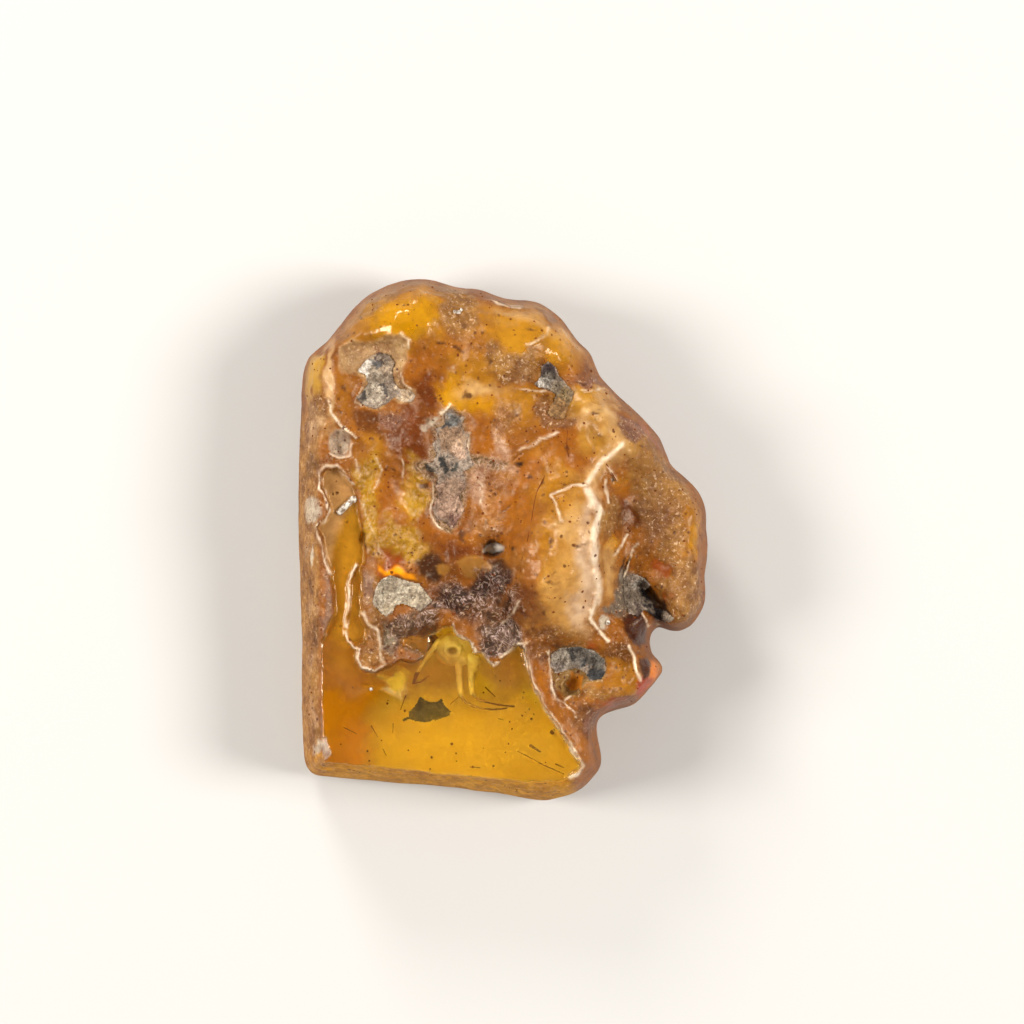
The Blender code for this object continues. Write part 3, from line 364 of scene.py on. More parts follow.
    ("granular patch, grey", "#8c7c66", "bruised", 0.3, 0.9, (
        (-6.7, -6.5, 0.45, 0.6, 0), (-7.1, -5.2, 0.25, 0.9, 0), (-4.9, -6.6, 0.5, 0.15, -5))),
    ("brown by the insect", "#4e3018", "dark", 0.3, 0.9, (
        (-5.3, -6.5, 0.7, 0.25, 0), (-4.3, -5.2, 0.6, 0.4, 20), (-5.3, -5.2, 0.6, 0.3, 10))),
    ("over the wing", "#a8702a", "clear", 0.25, 0.9, ((-4.95, -6.05, 1.0, 0.55, 12),)),
    ("pink lace", "#b88c70", "laced", 0.5, 0.85, (
        (-0.8, 4.35, 1.5, 0.45, 0), (-1.3, 3.2, 0.6, 1.0, 0), (-0.2, 5.7, 0.35, 0.9, 0))),
    ("cross", "#aa8662", "threaded", 0.45, 0.95, (PITS["cross"][-1],)),
    ("upper left pit", "#be9668", "bruised", 0.35, 0.92, (PITS["upper left"][-1],)),
    ("white deposits", "#bfae9c", "matte", 0.25, 0.9, (
        (-11.3, -0.9, 0.35, 0.5, 0), (
        (-12.0, 1.9), (-11.85, 2.4), (-11.4, 2.65), (-10.95, 2.5), (-10.75, 2.0), (-10.8, 1.5),
        (-11.1, 1.15), (-11.6, 1.1), (-11.9, 1.4)), (-10.7, -12.4, 0.32, 0.6, 20),
        (-4.3, 7.1, 0.3, 0.25, 0), (6.3, -4.9, 0.35, 0.3, 0))),
    ("salt in the left pit", "#d2bfac", "bruised", 0.3, 0.92, (PITS["left pit"][-1],)),
    ("grey crust", "#70655a", "bruised", 0.4, 0.9, (
        (7.4, -3.4, 0.7, 1.3, -8), (6.8, -4.0, 0.6, 0.4, 0), (7.4, -2.2, 0.4, 0.9, -20))),
    ("purple facet", "#3c1a12", "dark", 0.25, 0.97, ((
        (7.2, -4.6), (7.7, -4.1), (8.2, -4.0), (8.6, -5.0), (8.7, -6.0), (8.3, -6.3), (7.8, -6.1),
        (7.3, -5.3)), (
        (8.15, -7.0), (8.6, -6.9), (8.9, -7.4), (8.8, -8.0), (8.4, -8.2), (8.2, -7.6)))),
    ("lower right pit", "#94703f", "bruised", 0.2, 0.95, (PITS["lower right"][-1],)),
    ("orange hole", "#c0741c", "milky", 0.2, 0.95, ((4.05, -8.35, 0.6, 0.55, 0),)),
    # Near-black in the notch, the small hole, the slot, the groove and other narrow hollows: painted
    # shade of their depths
    ("painted shade in the hollows", "#241510", "dark", 0.2, 0.96, (PITS["notch"][-1],
        (-0.5, -0.5, 0.75, 0.42, 0), (0.9, 5.1, 0.45, 0.14, 35), (-8.25, 0.25, 0.2, 0.42, 10),
        (6.9, 3.5, 0.2, 0.22, 0), (7.4, -1.4, 0.12, 0.8, -22), (4.4, -6.2, 1.4, 0.1, -3),
        (5.5, -12.1, 0.08, 0.4, 20))),
    ("glint in the hole", "#c4bab4", "milky", 0.15, 0.9, ((
        (-1.2, -0.6), (-0.9, -0.3), (-0.3, -0.18), (0.15, -0.3), (0.05, -0.55), (-0.6, -0.72)),)),
    ("dark blots", "#4a2410", "dark", 0.14, 0.85, (
        (0.95, 7.45, 0.2, 0.1, 20), (-2.1, 0.1, 0.1, 0.3, 0), (-1.35, 1.6, 0.1, 0.25, 0),
        (3.6, 5.3, 0.17, 0.13, 0), (5.5, 6.5, 0.1, 0.12, 0), (-2.7, 11.7, 0.3, 0.16, -30),
        (-3.6, 11.9, 0.25, 0.16, 0), (-2.0, 8.65, 0.2, 0.3, 10), (-3.0, 9.7, 0.1, 0.1, 0),
        (8.5, 5.7, 0.13, 0.13, 0), (2.1, -1.8, 0.14, 0.12, 0), (3.0, -1.85, 0.16, 0.1, 20),
        (2.1, -4.4, 0.14, 0.12, 0), (2.85, -0.1, 0.12, 0.32, 15), (0.3, 1.65, 0.3, 0.07, 5),
        (3.3, -2.4, 0.2, 0.08, -20), (1.7, 3.9, 0.2, 0.1, -35), (-9.65, 7.4, 0.15, 0.15, 0),
        (-7.0, 4.5, 0.1, 0.1, 0), (-6.7, 4.2, 0.18, 0.1, -20), (-4.7, 4.4, 0.4, 0.3, 0),
        (-5.0, 3.45, 0.25, 0.3, 0), (1.6, 9.4, 0.12, 0.1, 0), (-5.2, 10.7, 0.15, 0.1, 30),
        (-9.4, 9.25, 0.08, 0.2, 0), (5.7, 7.5, 0.1, 0.1, 0), (-8.3, 13.1, 0.15, 0.1, 0),
        (-5.5, 14.1, 0.12, 0.08, -30), (-0.6, 10.7, 0.1, 0.25, 0), (4.6, -0.15, 0.3, 0.1, 0),
        (-2.2, 12.7, 0.12, 0.1, 0), (4.6, 9.35, 0.35, 0.15, 10), (6.3, 8.95, 0.3, 0.15, -30),
        (-0.2, 14.6, 0.2, 0.1, 0), (1.5, 12.3, 0.15, 0.1, 0))),
)
# What lies on the window's glass-like face
WINDOW_PATCHES = (
    ("golden haze", "#ffc21c", "clear", 2.0, 0.22, ((-1.6, -12.4, 6.8, 2.6, 0),)),
    # Brown round the insect: a browner tint, and the insect's painted shadow
    ("brown tint and painted shadow by the insect", "#a4692c", "clear", 1.6, 0.32, (
        (-4.6, -7.9, 2.2, 1.1, 0), (0.4, -7.6, 0.9, 1.2, 0))),
    ("left column", "#b47a10", "milky", 1.8, 0.6, (
        (-9.3, -0.6, 1.3, 3.4, 5), (-9.2, -4.0, 1.1, 3.4, 0))),
    ("tan facet", "#b2824c", "milky", 0.6, 0.95, ((
        (-11.2, 4.4), (-9.9, 4.6), (-8.6, 3.2), (-8.8, 2.4), (-9.5, 1.4), (-10.0, 0.0), (-10.3, -1.8),
        (-10.9, -1.2), (-11.2, 0.7)),)),
    ("smooth foot of the rind", "#a8701c", "milky", 0.9, 0.6, ((-8.6, -5.5, 0.7, 0.6, 0),)),
    ("yellow bubble", "#c8a02c", "milky", 0.3, 0.6, ((-6.4, -7.95, 0.85, 0.5, 10),)),
    ("white deposit", "#b8a294", "matte", 0.2, 0.9, ((-10.6, -12.3, 0.3, 0.65, 20),)),
)
# What shows through the window on the ground back: its brown rind, left of the clear part, and a
# painted shadow under the insect: (what it is, colour, soft edge, strength, shapes)
BACK_PATCHES = (
    ("rind", "#f2b832", 1.1, 0.9, (((-13, -16), (-7.8, -16), (-7.8, 0.0), (-13, 0.0)),)),
    ("painted shadow under the insect", "#703410", 1.8, 0.92, ((-3.7, -7.4, 2.9, 1.6, 0),)),
)
# Colours, and the same five values as a kind's
WINDOW_FINISH = ("#fff0bc", (0.0, 0.03, 0.0, 0.0, 0.0))
BACK_FINISH = ("#b07828", (1.0, 0.6, 0.3, 0.0, 0.2))

# The insect, as balls and tapered tubes fused in one skin: (x, y, z, radius) for each joint. The
# limbs' heights are counted from the insect's level over the base.
INSECT_LEVEL = 5.75
THORAX = (-2.99, -6.42, INSECT_LEVEL - 0.2, 1.02)
EYE = (-1.5, -5.84, INSECT_LEVEL + 0.1, 0.36)
INSECT_BALLS = {
    "thorax": THORAX,
    "thorax, front": (-2.45, -6.05, INSECT_LEVEL - 0.25, 0.85),
    "head": (-1.85, -5.75, INSECT_LEVEL - 0.2, 0.62),
    "eye": EYE,
    "near coxa": (-2.45, -7.05, INSECT_LEVEL + 0.05, 0.42),
    "far coxa": (-1.75, -7.05, INSECT_LEVEL - 0.2, 0.5),
    "far coxa, end": (-1.72, -7.45, INSECT_LEVEL - 0.25, 0.36),
    "abdomen": (-3.9, -6.1, INSECT_LEVEL - 0.6, 0.62),
    "abdomen, middle": (-4.5, -5.95, INSECT_LEVEL - 0.75, 0.6),
    "abdomen, end": (-5.15, -5.95, INSECT_LEVEL - 0.9, 0.42),
}
INSECT_LIMBS = {
    "socket ring": (
        (-3.32, -6.05, 0.62, 0.12), (-3.4, -6.55, 0.68, 0.13), (-3.05, -6.9, 0.66, 0.14),
        (-2.6, -6.75, 0.66, 0.13), (-2.45, -6.3, 0.62, 0.12)),
    "near femur": ((-2.6, -7.3, 0.1, 0.24), (-2.55, -8.2, 0.1, 0.19), (-2.45, -9.2, -0.05, 0.16)),
    "near tibia": ((-2.45, -9.2, -0.05, 0.13), (-2.15, -9.62, -0.1, 0.09), (-1.6, -9.88, -0.15, 0.08)),
    "near tarsus": (
        (-1.6, -9.88, -0.15, 0.065), (-1.05, -10.0, -0.15, 0.06), (-0.5, -10.04, -0.1, 0.06),
        (0.0, -10.0, -0.1, 0.055), (0.3, -9.95, -0.1, 0.05)),
    "far femur": ((-1.85, -7.5, -0.2, 0.24), (-1.86, -8.3, -0.25, 0.19), (-1.8, -9.1, -0.35, 0.15)),
    "far tibia": ((-1.8, -9.1, -0.35, 0.12), (-1.45, -9.45, -0.4, 0.08), (-0.95, -9.6, -0.4, 0.07)),
    "far tarsus": (
        (-0.95, -9.6, -0.4, 0.06), (-0.3, -9.74, -0.35, 0.06), (0.3, -9.82, -0.3, 0.06),
        (0.72, -9.85, -0.3, 0.075)),
    "middle femur": (
        (-3.8, -5.95, 0.2, 0.17), (-4.4, -6.8, 0.25, 0.16), (-4.95, -7.6, 0.2, 0.15),
        (-5.3, -8.5, 0.1, 0.08)),
    "middle tibia": ((-5.3, -8.5, 0.1, 0.07), (-4.85, -8.4, 0.0, 0.055), (-4.28, -7.97, -0.1, 0.05)),
    "claw": ((-2.6, -9.3, -0.2, 0.05), (-3.1, -9.74, -0.3, 0.035)),
    "antenna": (
        (-1.6, -6.3, 0.1, 0.06), (-1.2, -6.7, 0.15, 0.05), (-0.7, -7.3, 0.1, 0.04),
        (-0.4, -8.1, 0.0, 0.035)),
}
WING = (
    (-5.95, -6.35), (-5.6, -5.75), (-5.0, -5.4), (-4.2, -5.35), (-3.7, -5.75), (-3.9, -6.25),
    (-4.6, -6.6), (-5.4, -6.75),
)

FLAKE = (
    (-4.87, -9.26), (-4.39, -9.58), (-3.9, -9.58), (-3.64, -9.42), (-3.26, -9.9), (-3.05, -10.17),
    (-3.2, -10.5), (-3.64, -10.6), (-4.44, -10.8), (-5.14, -10.8), (-5.56, -10.62), (-5.85, -10.8),
    (-6.0, -10.68), (-5.85, -10.5), (-5.6, -10.5), (-5.56, -10.22), (-5.24, -9.85), (-5.03, -9.47),
)
FLAKE_LEVEL = 5.05  # over the base

# Sediment that sticks in the pits, by the solid that it stands for:
# (how thick it is piled, outline, spots of colour: centre x, centre y, radius, colour)
CRUSTS = {
    "sediment_upper_left": (0.22, (
        (-8.7, 10.1), (-8.2, 10.7), (-7.9, 11.0), (-7.3, 11.3), (-6.7, 11.1), (-6.3, 10.6),
        (-6.5, 10.1), (-6.4, 9.5), (-6.1, 9.1), (-5.4, 9.0), (-5.1, 8.6), (-5.4, 8.25), (-6.0, 8.3),
        (-6.4, 8.55), (-6.9, 8.1), (-7.6, 7.85), (-8.3, 8.1), (-8.7, 8.5), (-8.3, 8.9), (-8.0, 9.4),
        (-8.2, 9.9)), (
        (-7.3, 10.6, 1.1, "#a18b72"), (-7.2, 11.0, 0.32, "#4a352a"), (-7.6, 10.6, 0.35, "#6c6864"),
        (-8.2, 10.35, 0.45, "#cfc6b8"), (-7.4, 9.5, 0.7, "#a3937e"), (-7.7, 8.8, 0.7, "#b8a994"),
        (-8.2, 8.5, 0.28, "#4e4741"), (-7.1, 9.2, 0.2, "#5a5048"), (-5.7, 8.6, 0.6, "#cfb898"),
        (-6.9, 11.0, 0.3, "#8b7a68"))),
    "sediment_upper_right": (0.22, (
        (2.1, 9.1), (1.9, 9.4), (2.3, 9.8), (2.3, 10.4), (2.7, 10.75), (3.2, 10.4), (3.4, 9.9),
        (3.9, 9.3), (4.3, 8.9), (4.2, 8.4), (3.9, 7.9), (3.8, 7.3), (3.2, 7.2), (2.6, 7.6), (2.9, 8.1),
        (3.2, 8.7), (2.8, 9.0)), (
        (2.8, 10.3, 0.5, "#4a3a38"), (2.9, 9.7, 0.4, "#7d7264"), (2.4, 9.25, 0.4, "#d4ccc0"),
        (3.5, 9.1, 0.4, "#94836c"), (3.8, 8.6, 0.5, "#8e7650"), (3.4, 7.7, 0.9, "#946e40"))),
    "sediment_middle": (0.12, (
        (-3.0, 7.9), (-3.5, 7.6), (-3.4, 7.0), (-4.0, 6.7), (-3.8, 6.2), (-4.2, 5.8), (-3.9, 5.2),
        (-4.1, 4.7), (-4.6, 4.6), (-4.5, 4.2), (-3.8, 3.9), (-4.0, 3.2), (-3.8, 2.7), (-4.2, 2.0),
        (-3.9, 1.3), (-3.3, 1.1), (-3.0, 0.6), (-2.6, 1.2), (-2.2, 1.9), (-2.5, 2.7), (-2.0, 3.4),
        (-2.3, 4.1), (-1.6, 4.5), (-1.9, 5.1), (-2.1, 5.8), (-1.9, 6.3), (-2.4, 6.8), (-2.2, 7.4),
        (-2.6, 7.5)), (
        (-2.9, 6.0, 0.9, "#ac8c6e"), (-3.0, 7.1, 0.5, "#8f8f8a"), (-3.2, 6.9, 0.25, "#4c4a48"),
        (-3.0, 2.4, 1.4, "#ae8e76"), (-3.45, 4.55, 0.32, "#34322c"), (-2.85, 4.3, 0.22, "#48443a"),
        (-4.4, 4.2, 0.3, "#3e3424"), (-2.9, 3.2, 0.5, "#a0836a"), (-2.8, 1.4, 0.3, "#8a6656"),
        (-2.5, 5.2, 0.4, "#c4a48a"))),
    "white_plaque": (0.2, (
        (-7.7, -3.7), (-7.6, -2.9), (-7.2, -2.25), (-6.6, -2.0), (-5.9, -2.25), (-5.4, -2.4),
        (-4.9, -2.5), (-4.5, -3.0), (-4.1, -3.5), (-4.4, -3.9), (-4.9, -4.2), (-5.3, -3.95),
        (-5.9, -3.75), (-6.3, -3.85), (-6.5, -4.3), (-6.9, -4.5), (-7.3, -4.2)), (
        (-6.2, -3.0, 1.6, "#bcae96"), (-7.2, -3.7, 0.5, "#c6b8a0"), (-5.0, -3.3, 0.6, "#b8a88e"),
        (-6.6, -4.1, 0.4, "#a59478"))),
    "sediment_lower_right": (0.25, (
        (2.9, -6.7), (3.5, -6.35), (4.6, -6.25), (5.5, -6.5), (6.1, -7.0), (6.2, -7.7), (5.9, -8.2),
        (5.2, -8.3), (4.9, -7.8), (4.4, -7.6), (3.8, -7.75), (3.2, -7.9), (2.85, -7.4)), (
        (3.6, -6.9, 0.8, "#a39684"), (4.8, -6.7, 0.7, "#857c70"), (5.6, -7.1, 0.6, "#787064"),
        (5.6, -8.0, 0.45, "#3c3a38"), (4.3, -6.5, 0.3, "#504a44"), (5.0, -7.3, 0.3, "#4c4844"),
        (3.3, -7.5, 0.4, "#94867a"))),
    "sediment_notch": (0.16, (
        (7.2, -2.2), (7.8, -1.9), (8.4, -2.1), (8.9, -2.6), (8.6, -3.0), (9.2, -3.9), (9.9, -4.2),
        (10.3, -4.6), (10.0, -4.9), (9.3, -4.7), (8.5, -4.1), (8.1, -4.5), (7.5, -4.3), (7.2, -3.3)), (
        (7.7, -3.1, 0.8, "#7c6c5a"), (8.3, -2.3, 0.4, "#9a9082"), (8.9, -3.3, 0.45, "#2c211e"),
        (9.3, -4.3, 0.5, "#2a201e"), (10.1, -4.4, 0.35, "#a3937e"), (8.2, -4.1, 0.4, "#5c4a40"))),
}

# Small things sealed in the window: (x, y, radius) of specks, and (start, end, radius) of rods
SPECKS = (
    (-6.85, -9.7, 0.08), (-3.0, -12.1, 0.1), (-4.2, -12.9, 0.09), (-0.5, -13.45, 0.09),
    (-1.75, -13.5, 0.1), (-2.7, -13.1, 0.06), (-2.75, -12.7, 0.06), (-5.6, -12.5, 0.05),
    (-8.0, -12.5, 0.08), (-7.9, -13.1, 0.08), (-4.3, -13.6, 0.06), (-4.9, -11.4, 0.05),
    (0.6, -11.2, 0.06), (0.4, -12.1, 0.06), (0.45, -10.8, 0.05), (1.2, -10.4, 0.07),
    (1.75, -10.6, 0.08), (3.0, -11.4, 0.16), (3.2, -11.2, 0.1), (4.3, -11.6, 0.13),
    (-5.78, -10.1, 0.09), (-1.1, -9.05, 0.06), (-6.8, -9.5, 0.05), (0.2, -12.6, 0.05),
    (-7.2, -11.9, 0.05), (2.6, -13.2, 0.05), (-1.1, -12.4, 0.04), (-9.6, -12.1, 0.05),
)
RODS = (
    ((-9.4, -11.1), (-8.7, -11.5), 0.03), ((-7.8, -11.0), (-7.4, -11.7), 0.035),
    ((-6.5, -10.9), (-6.5, -11.4), 0.03), ((-7.1, -12.4), (-6.9, -12.8), 0.03),
    ((0.9, -12.5), (2.2, -13.2), 0.035), ((2.2, -13.2), (3.7, -13.9), 0.045),
    ((-1.0, -8.72), (-0.4, -9.29), 0.045), ((-5.72, -9.15), (-6.05, -10.07), 0.04),
    ((-1.9, -13.45), (-1.3, -13.5), 0.04), ((1.7, -12.2), (2.3, -12.6), 0.1),
    ((-0.2, -10.6), (0.1, -10.65), 0.03), ((3.2, -13.3), (3.7, -13.5), 0.05),
)
# A white rod on the skin: (start, end, start radius, end radius)
WHITE_ROD = ((-9.62, 1.78, 7.5), (-8.85, 2.5, 7.55), 0.2, 0.17)
# White grains on the skin: x, y, radius
WHITE_GRAINS = (
    (-9.65, 1.72, 0.2), (-8.82, 2.5, 0.22), (-9.3, 2.1, 0.13), (-2.6, 13.6, 0.14), (-2.8, 13.65, 0.1),
    (-2.4, 13.75, 0.1), (6.3, -4.8, 0.14), (-7.8, -8.8, 0.09),
)
# Tiny bubbles in the clear resin, made as bright white grains: a painted glint: x, y, z, radius
SPANGLES = (
    (0.5, -8.3, 6.6, 0.05), (1.3, -9.0, 6.4, 0.07), (1.25, -9.3, 6.5, 0.05), (1.6, -10.0, 6.3, 0.08),
    (1.9, -10.3, 6.2, 0.06), (-0.1, -8.3, 6.8, 0.06), (1.4, -10.2, 6.5, 0.05), (-8.9, -8.7, 6.5, 0.05),
    (0.9, -8.6, 6.7, 0.04), (2.0, -9.6, 6.6, 0.05), (-7.2, -8.9, 6.9, 0.04), (-0.4, -8.0, 6.7, 0.04),
)
# Fine cracks of the skin, from above
CRACKS = (
    ((3.9, 6.6), (3.85, 5.8), (3.95, 5.0)),
    ((2.9, 4.6), (2.5, 3.8), (2.1, 3.0), (1.9, 2.2), (1.8, 1.5), (1.5, 0.0), (1.2, -1.0), (1.1, -1.8)),
    ((6.2, 4.6), (6.5, 4.1), (6.8, 3.6)),
)


# ---- Numbers and shapes ----

def linear(hex_colour):
    """The linear red, green and blue of an sRGB hex colour."""
    parts = [int(hex_colour[i:i + 2], 16) / 255 for i in (1, 3, 5)]
    return [p / 12.92 if p <= 0.04045 else ((p + 0.055) / 1.055) ** 2.4 for p in parts]


def rgba(hex_colour):
    """A hex colour as a shader takes it."""
    return (*linear(hex_colour), 1.0)


def ease(value):
    """A smooth step from 0 to 1."""
    t = np.clip(value, 0.0, 1.0)
    return t * t * (3.0 - 2.0 * t)


def over(below, share, above):
    """Lays values over others, by each point's share."""
    share = share[:, None]
    return below * (1.0 - share) + np.array(above) * share


def path_distance(x, y, path):
    """How far each point is from a path of straight pieces."""
    nearest = np.full(x.shape, np.inf)
    for (ax, ay), (bx, by) in zip(path, path[1:]):
        dx, dy = bx - ax, by - ay
        share = np.clip(((x - ax) * dx + (y - ay) * dy) / (dx * dx + dy * dy), 0.0, 1.0)
        nearest = np.minimum(nearest, np.hypot(x - ax - share * dx, y - ay - share * dy))
    return nearest


def depth_in(x, y, shape):
    """How deep each point lies inside an outline or an ellipse, negative outside it."""
    if np.ndim(shape) == 1:
        cx, cy, rx, ry, turn = shape
        c, s = math.cos(math.radians(turn)), math.sin(math.radians(turn))
        u, v = ((x - cx) * c + (y - cy) * s) / rx, ((y - cy) * c - (x - cx) * s) / ry
        return (1.0 - np.hypot(u, v)) * min(rx, ry)
    loop = [*shape, shape[0]]
    odd = np.zeros(x.shape, bool)
    for (ax, ay), (bx, by) in zip(loop, loop[1:]):
        if ay != by:
            odd ^= ((ay > y) != (by > y)) & (x < ax + (y - ay) * (bx - ax) / (by - ay))
    away = path_distance(x, y, loop)
    return np.where(odd, away, -away)


def lumps(places, size, seed=0.0):
    """Smooth noise from about -1 to 1 at each place, with lumps of about the given size."""
    return np.array([noise.noise(Vector(p)) for p in places / size + seed])


def relief(places, layers):
    """The sum of layers of lumps: (height, over what size, seed)."""
    return sum(height * lumps(places, size, seed) for height, size, seed in layers)


def wander(places, sizes):
    """The points' x and y, shifted by noise: (how far, over what size) for each layer."""
    x, y = places[:, 0].copy(), places[:, 1].copy()
    for number, (far, size) in enumerate(sizes):
        x += far * lumps(places, size, 3.1 + number)
        y += far * lumps(places, size, 8.4 + number)
    return x, y


def patch_share(shapes, edge, wide, fine):
    """How far each point is in any of the shapes. An ellipse gets the more ragged edge."""
    share = np.zeros(wide[0].shape)
    for shape in shapes:
        x, y = wide if np.ndim(shape) == 1 else fine
        share = np.maximum(share, ease(depth_in(x, y, shape) / edge + 0.5))
    return share


def polished_share(x, y):
    """How far each point is in the polished window, from above."""
    return ease(depth_in(x, y, WINDOW) / POLISH_EDGE + 0.5)


def read_points(mesh, what):
    """A value with three parts of each point of a mesh, one row each."""
    flat = np.empty(len(mesh.vertices) * 3, np.float32)
    mesh.vertices.foreach_get(what, flat)
    return flat.reshape(-1, 3).astype(float)


def places_of(mesh):
    """The mesh's points in millimetres."""
    return read_points(mesh, "co") / MM


def normals_of(mesh):
    """The way that each point of the mesh faces."""
    return read_points(mesh, "normal")


def move_points(mesh, places):
    """Puts the mesh's points at places given in millimetres."""
    mesh.vertices.foreach_set("co", (places * MM).astype(np.float32).ravel())
    mesh.update()


# ---- Modelling helpers ----

def pick(*objects):
    """Selects only these objects, the first one active."""
    bpy.ops.object.select_all(action="DESELECT")
    for obj in objects:
        obj.select_set(True)
    bpy.context.view_layer.objects.active = objects[0]


def mode(name):
    """Turns edit mode on or off for the picked object."""
    bpy.ops.object.mode_set(mode=name)


def join(name, objects):
    """Joins objects in the first one, under a new name."""
    pick(*objects)
    if len(objects) > 1:
        bpy.ops.object.join()
    objects[0].name = name
    return objects[0]


def settle(obj):
    """Puts a piece's place into its mesh."""
    pick(obj)
    bpy.ops.object.transform_apply(location=True, rotation=True, scale=True)
    return obj


def smooth(obj):
    """Shades a piece smooth."""
    pick(obj)
    bpy.ops.object.shade_smooth()
    return obj


def apply(obj, kind, **settings):
    """Adds a modifier to a piece and applies it."""
    modifier = obj.modifiers.new(kind, kind)
    for key, value in settings.items():
        setattr(modifier, key, value)
    pick(obj)
    bpy.ops.object.modifier_apply(modifier=modifier.name)


def drop_points(obj, unwanted):
    """Deletes the points of a mesh that a list of true and false marks."""
    pick(obj)
    mode("EDIT")
    bpy.ops.mesh.select_mode(type="VERT")
    bpy.ops.mesh.select_all(action="DESELECT")
    mode("OBJECT")
    obj.data.vertices.foreach_set("select", np.asarray(unwanted, bool))
    mode("EDIT")
    bpy.ops.mesh.delete(type="VERT")
    mode("OBJECT")


def fuse(obj, voxel):
    """Remeshes a piece in one skin. Voxels under 0.1 mm aren't made, so it is enlarged first."""
    obj.data.transform(Matrix.Scale(FUSE_SCALE, 4))
    apply(obj, "REMESH", mode="VOXEL", voxel_size=voxel * MM * FUSE_SCALE)
    obj.data.transform(Matrix.Scale(1.0 / FUSE_SCALE, 4))


def node_copy(name, node):
    """A copy of a solid's mesh in a new object, with its loose triangles merged."""
    obj = bpy.data.objects.new(name, frame["nodes"][node].data.copy())
    bpy.context.scene.collection.objects.link(obj)
    obj.data.materials.clear()
    pick(obj)
    mode("EDIT")
    bpy.ops.mesh.select_all(action="SELECT")
    bpy.ops.mesh.remove_doubles(threshold=0.001 * MM)
    bpy.ops.mesh.select_all(action="DESELECT")
    mode("OBJECT")
    return obj


def paint(obj, name, values):
    """Stores a value with three channels on each point of a mesh."""
    layer = obj.data.attributes.new(name, "FLOAT_COLOR", "POINT")
    rows = np.ones((len(values), 4), np.float32)
    rows[:, :3] = values
    layer.data.foreach_set("color", rows.ravel())


def ball(x, y, z, radius, detail=2):
    """A ball at a place given in millimetres."""
    bpy.ops.mesh.primitive_ico_sphere_add(subdivisions=detail, radius=radius * MM,
                                          location=(x * MM, y * MM, z * MM))
    return bpy.context.object


def tube(start, end, start_radius, end_radius, sides=10):
    """A tapered tube with closed ends between two places in millimetres."""
    start, end = Vector(start) * MM, Vector(end) * MM
    bpy.ops.mesh.primitive_cone_add(
        vertices=sides, radius1=start_radius * MM, radius2=end_radius * MM,
        depth=(end - start).length, location=(start + end) / 2,
        rotation=(end - start).to_track_quat("Z", "Y").to_euler())
    return bpy.context.object


def grain_copy(grain, place, scale, turn):
    """A loose grain: a copy of a ball at a place in metres, scaled and turned."""
    copy = grain.copy()
    copy.data = grain.data.copy()
    bpy.context.scene.collection.objects.link(copy)
    copy.location, copy.scale, copy.rotation_euler = place, scale, turn
    return copy


def flat_piece(name, outline, level, step):
    """A flat plate with a ragged edge: a grid of points, cut to an outline."""
    xs, ys = [p[0] for p in outline], [p[1] for p in outline]
    middle = ((min(xs) + max(xs)) / 2, (min(ys) + max(ys)) / 2)
    side = max(max(xs) - min(xs), max(ys) - min(ys)) + 2 * step
    cells = round(side / step)
    bpy.ops.mesh.primitive_grid_add(
        x_subdivisions=cells, y_subdivisions=cells, size=side * MM,
        location=(middle[0] * MM, middle[1] * MM, level * MM))
    plate = settle(bpy.context.object)
    plate.name = name
    places = places_of(plate.data)
    x = places[:, 0] + 0.06 * lumps(places, 0.25, 3.0)
    y = places[:, 1] + 0.06 * lumps(places, 0.25, 7.0)
    drop_points(plate, depth_in(x, y, outline) < 0.0)
    return plate


# ---- The amber ----

def open_half(node, parting):
    """One half of the amber without its parting face and its share of the pocket."""
    half = node_copy("amber", node)
    mesh = half.data
    z = places_of(mesh)[:, 2]
    for face in mesh.polygons:
        face.select = all(abs(z[i] - parting) < ON_PARTING for i in face.vertices)
    pick(half)
    mode("EDIT")
    bpy.ops.mesh.select_mode(type="FACE")
    bpy.ops.mesh.delete(type="FACE")
    bpy.ops.mesh.select_mode(type="VERT")
    mode("OBJECT")
    # The outer skin is what is linked to the point farthest from the parting
    z = places_of(mesh)[:, 2]
    mesh.vertices[int(np.abs(z - parting).argmax())].select = True
    mode("EDIT")
    bpy.ops.mesh.select_linked()
    bpy.ops.mesh.select_all(action="INVERT")
    bpy.ops.mesh.delete(type="VERT")
    mode("OBJECT")
    return half


def whole_lump():
    """The amber in one piece: both halves, bridged round the parting and made smooth."""
    lump = join("amber", [open_half("amber_upper", PARTING_HIGH),
                          open_half("amber_lower", PARTING_LOW)])
    mode("EDIT")
    bpy.ops.mesh.select_mode(type="EDGE")
    bpy.ops.mesh.select_all(action="DESELECT")
    bpy.ops.mesh.select_non_manifold()
    bpy.ops.mesh.bridge_edge_loops()
    mode("OBJECT")
    apply(lump, "SUBSURF", levels=1, render_levels=1)
    apply(lump, "REMESH", mode="VOXEL", voxel_size=SKIN_VOXEL * MM)
    apply(lump, "SMOOTH", factor=0.5, iterations=FACET_SMOOTHING)
    thin_plain_parts(lump)
    return lump


def thin_plain_parts(lump):
    """Fewer faces on the flanks, the back and the window, which have no fine relief."""
    places = places_of(lump.data)
    up = normals_of(lump.data)[:, 2]
    in_window = depth_in(places[:, 0], places[:, 1], WINDOW) > PLAIN_INSET
    plain = [int(i) for i in np.flatnonzero((up < PLAIN_SLOPE) | in_window)]
    group = lump.vertex_groups.new(name="plain")
    group.add(plain, 1.0, "REPLACE")
    share = len(plain) / len(up)
    apply(lump, "DECIMATE", ratio=1.0 - share * (1.0 - PLAIN_KEPT), vertex_group="plain")
    lump.vertex_groups.clear()


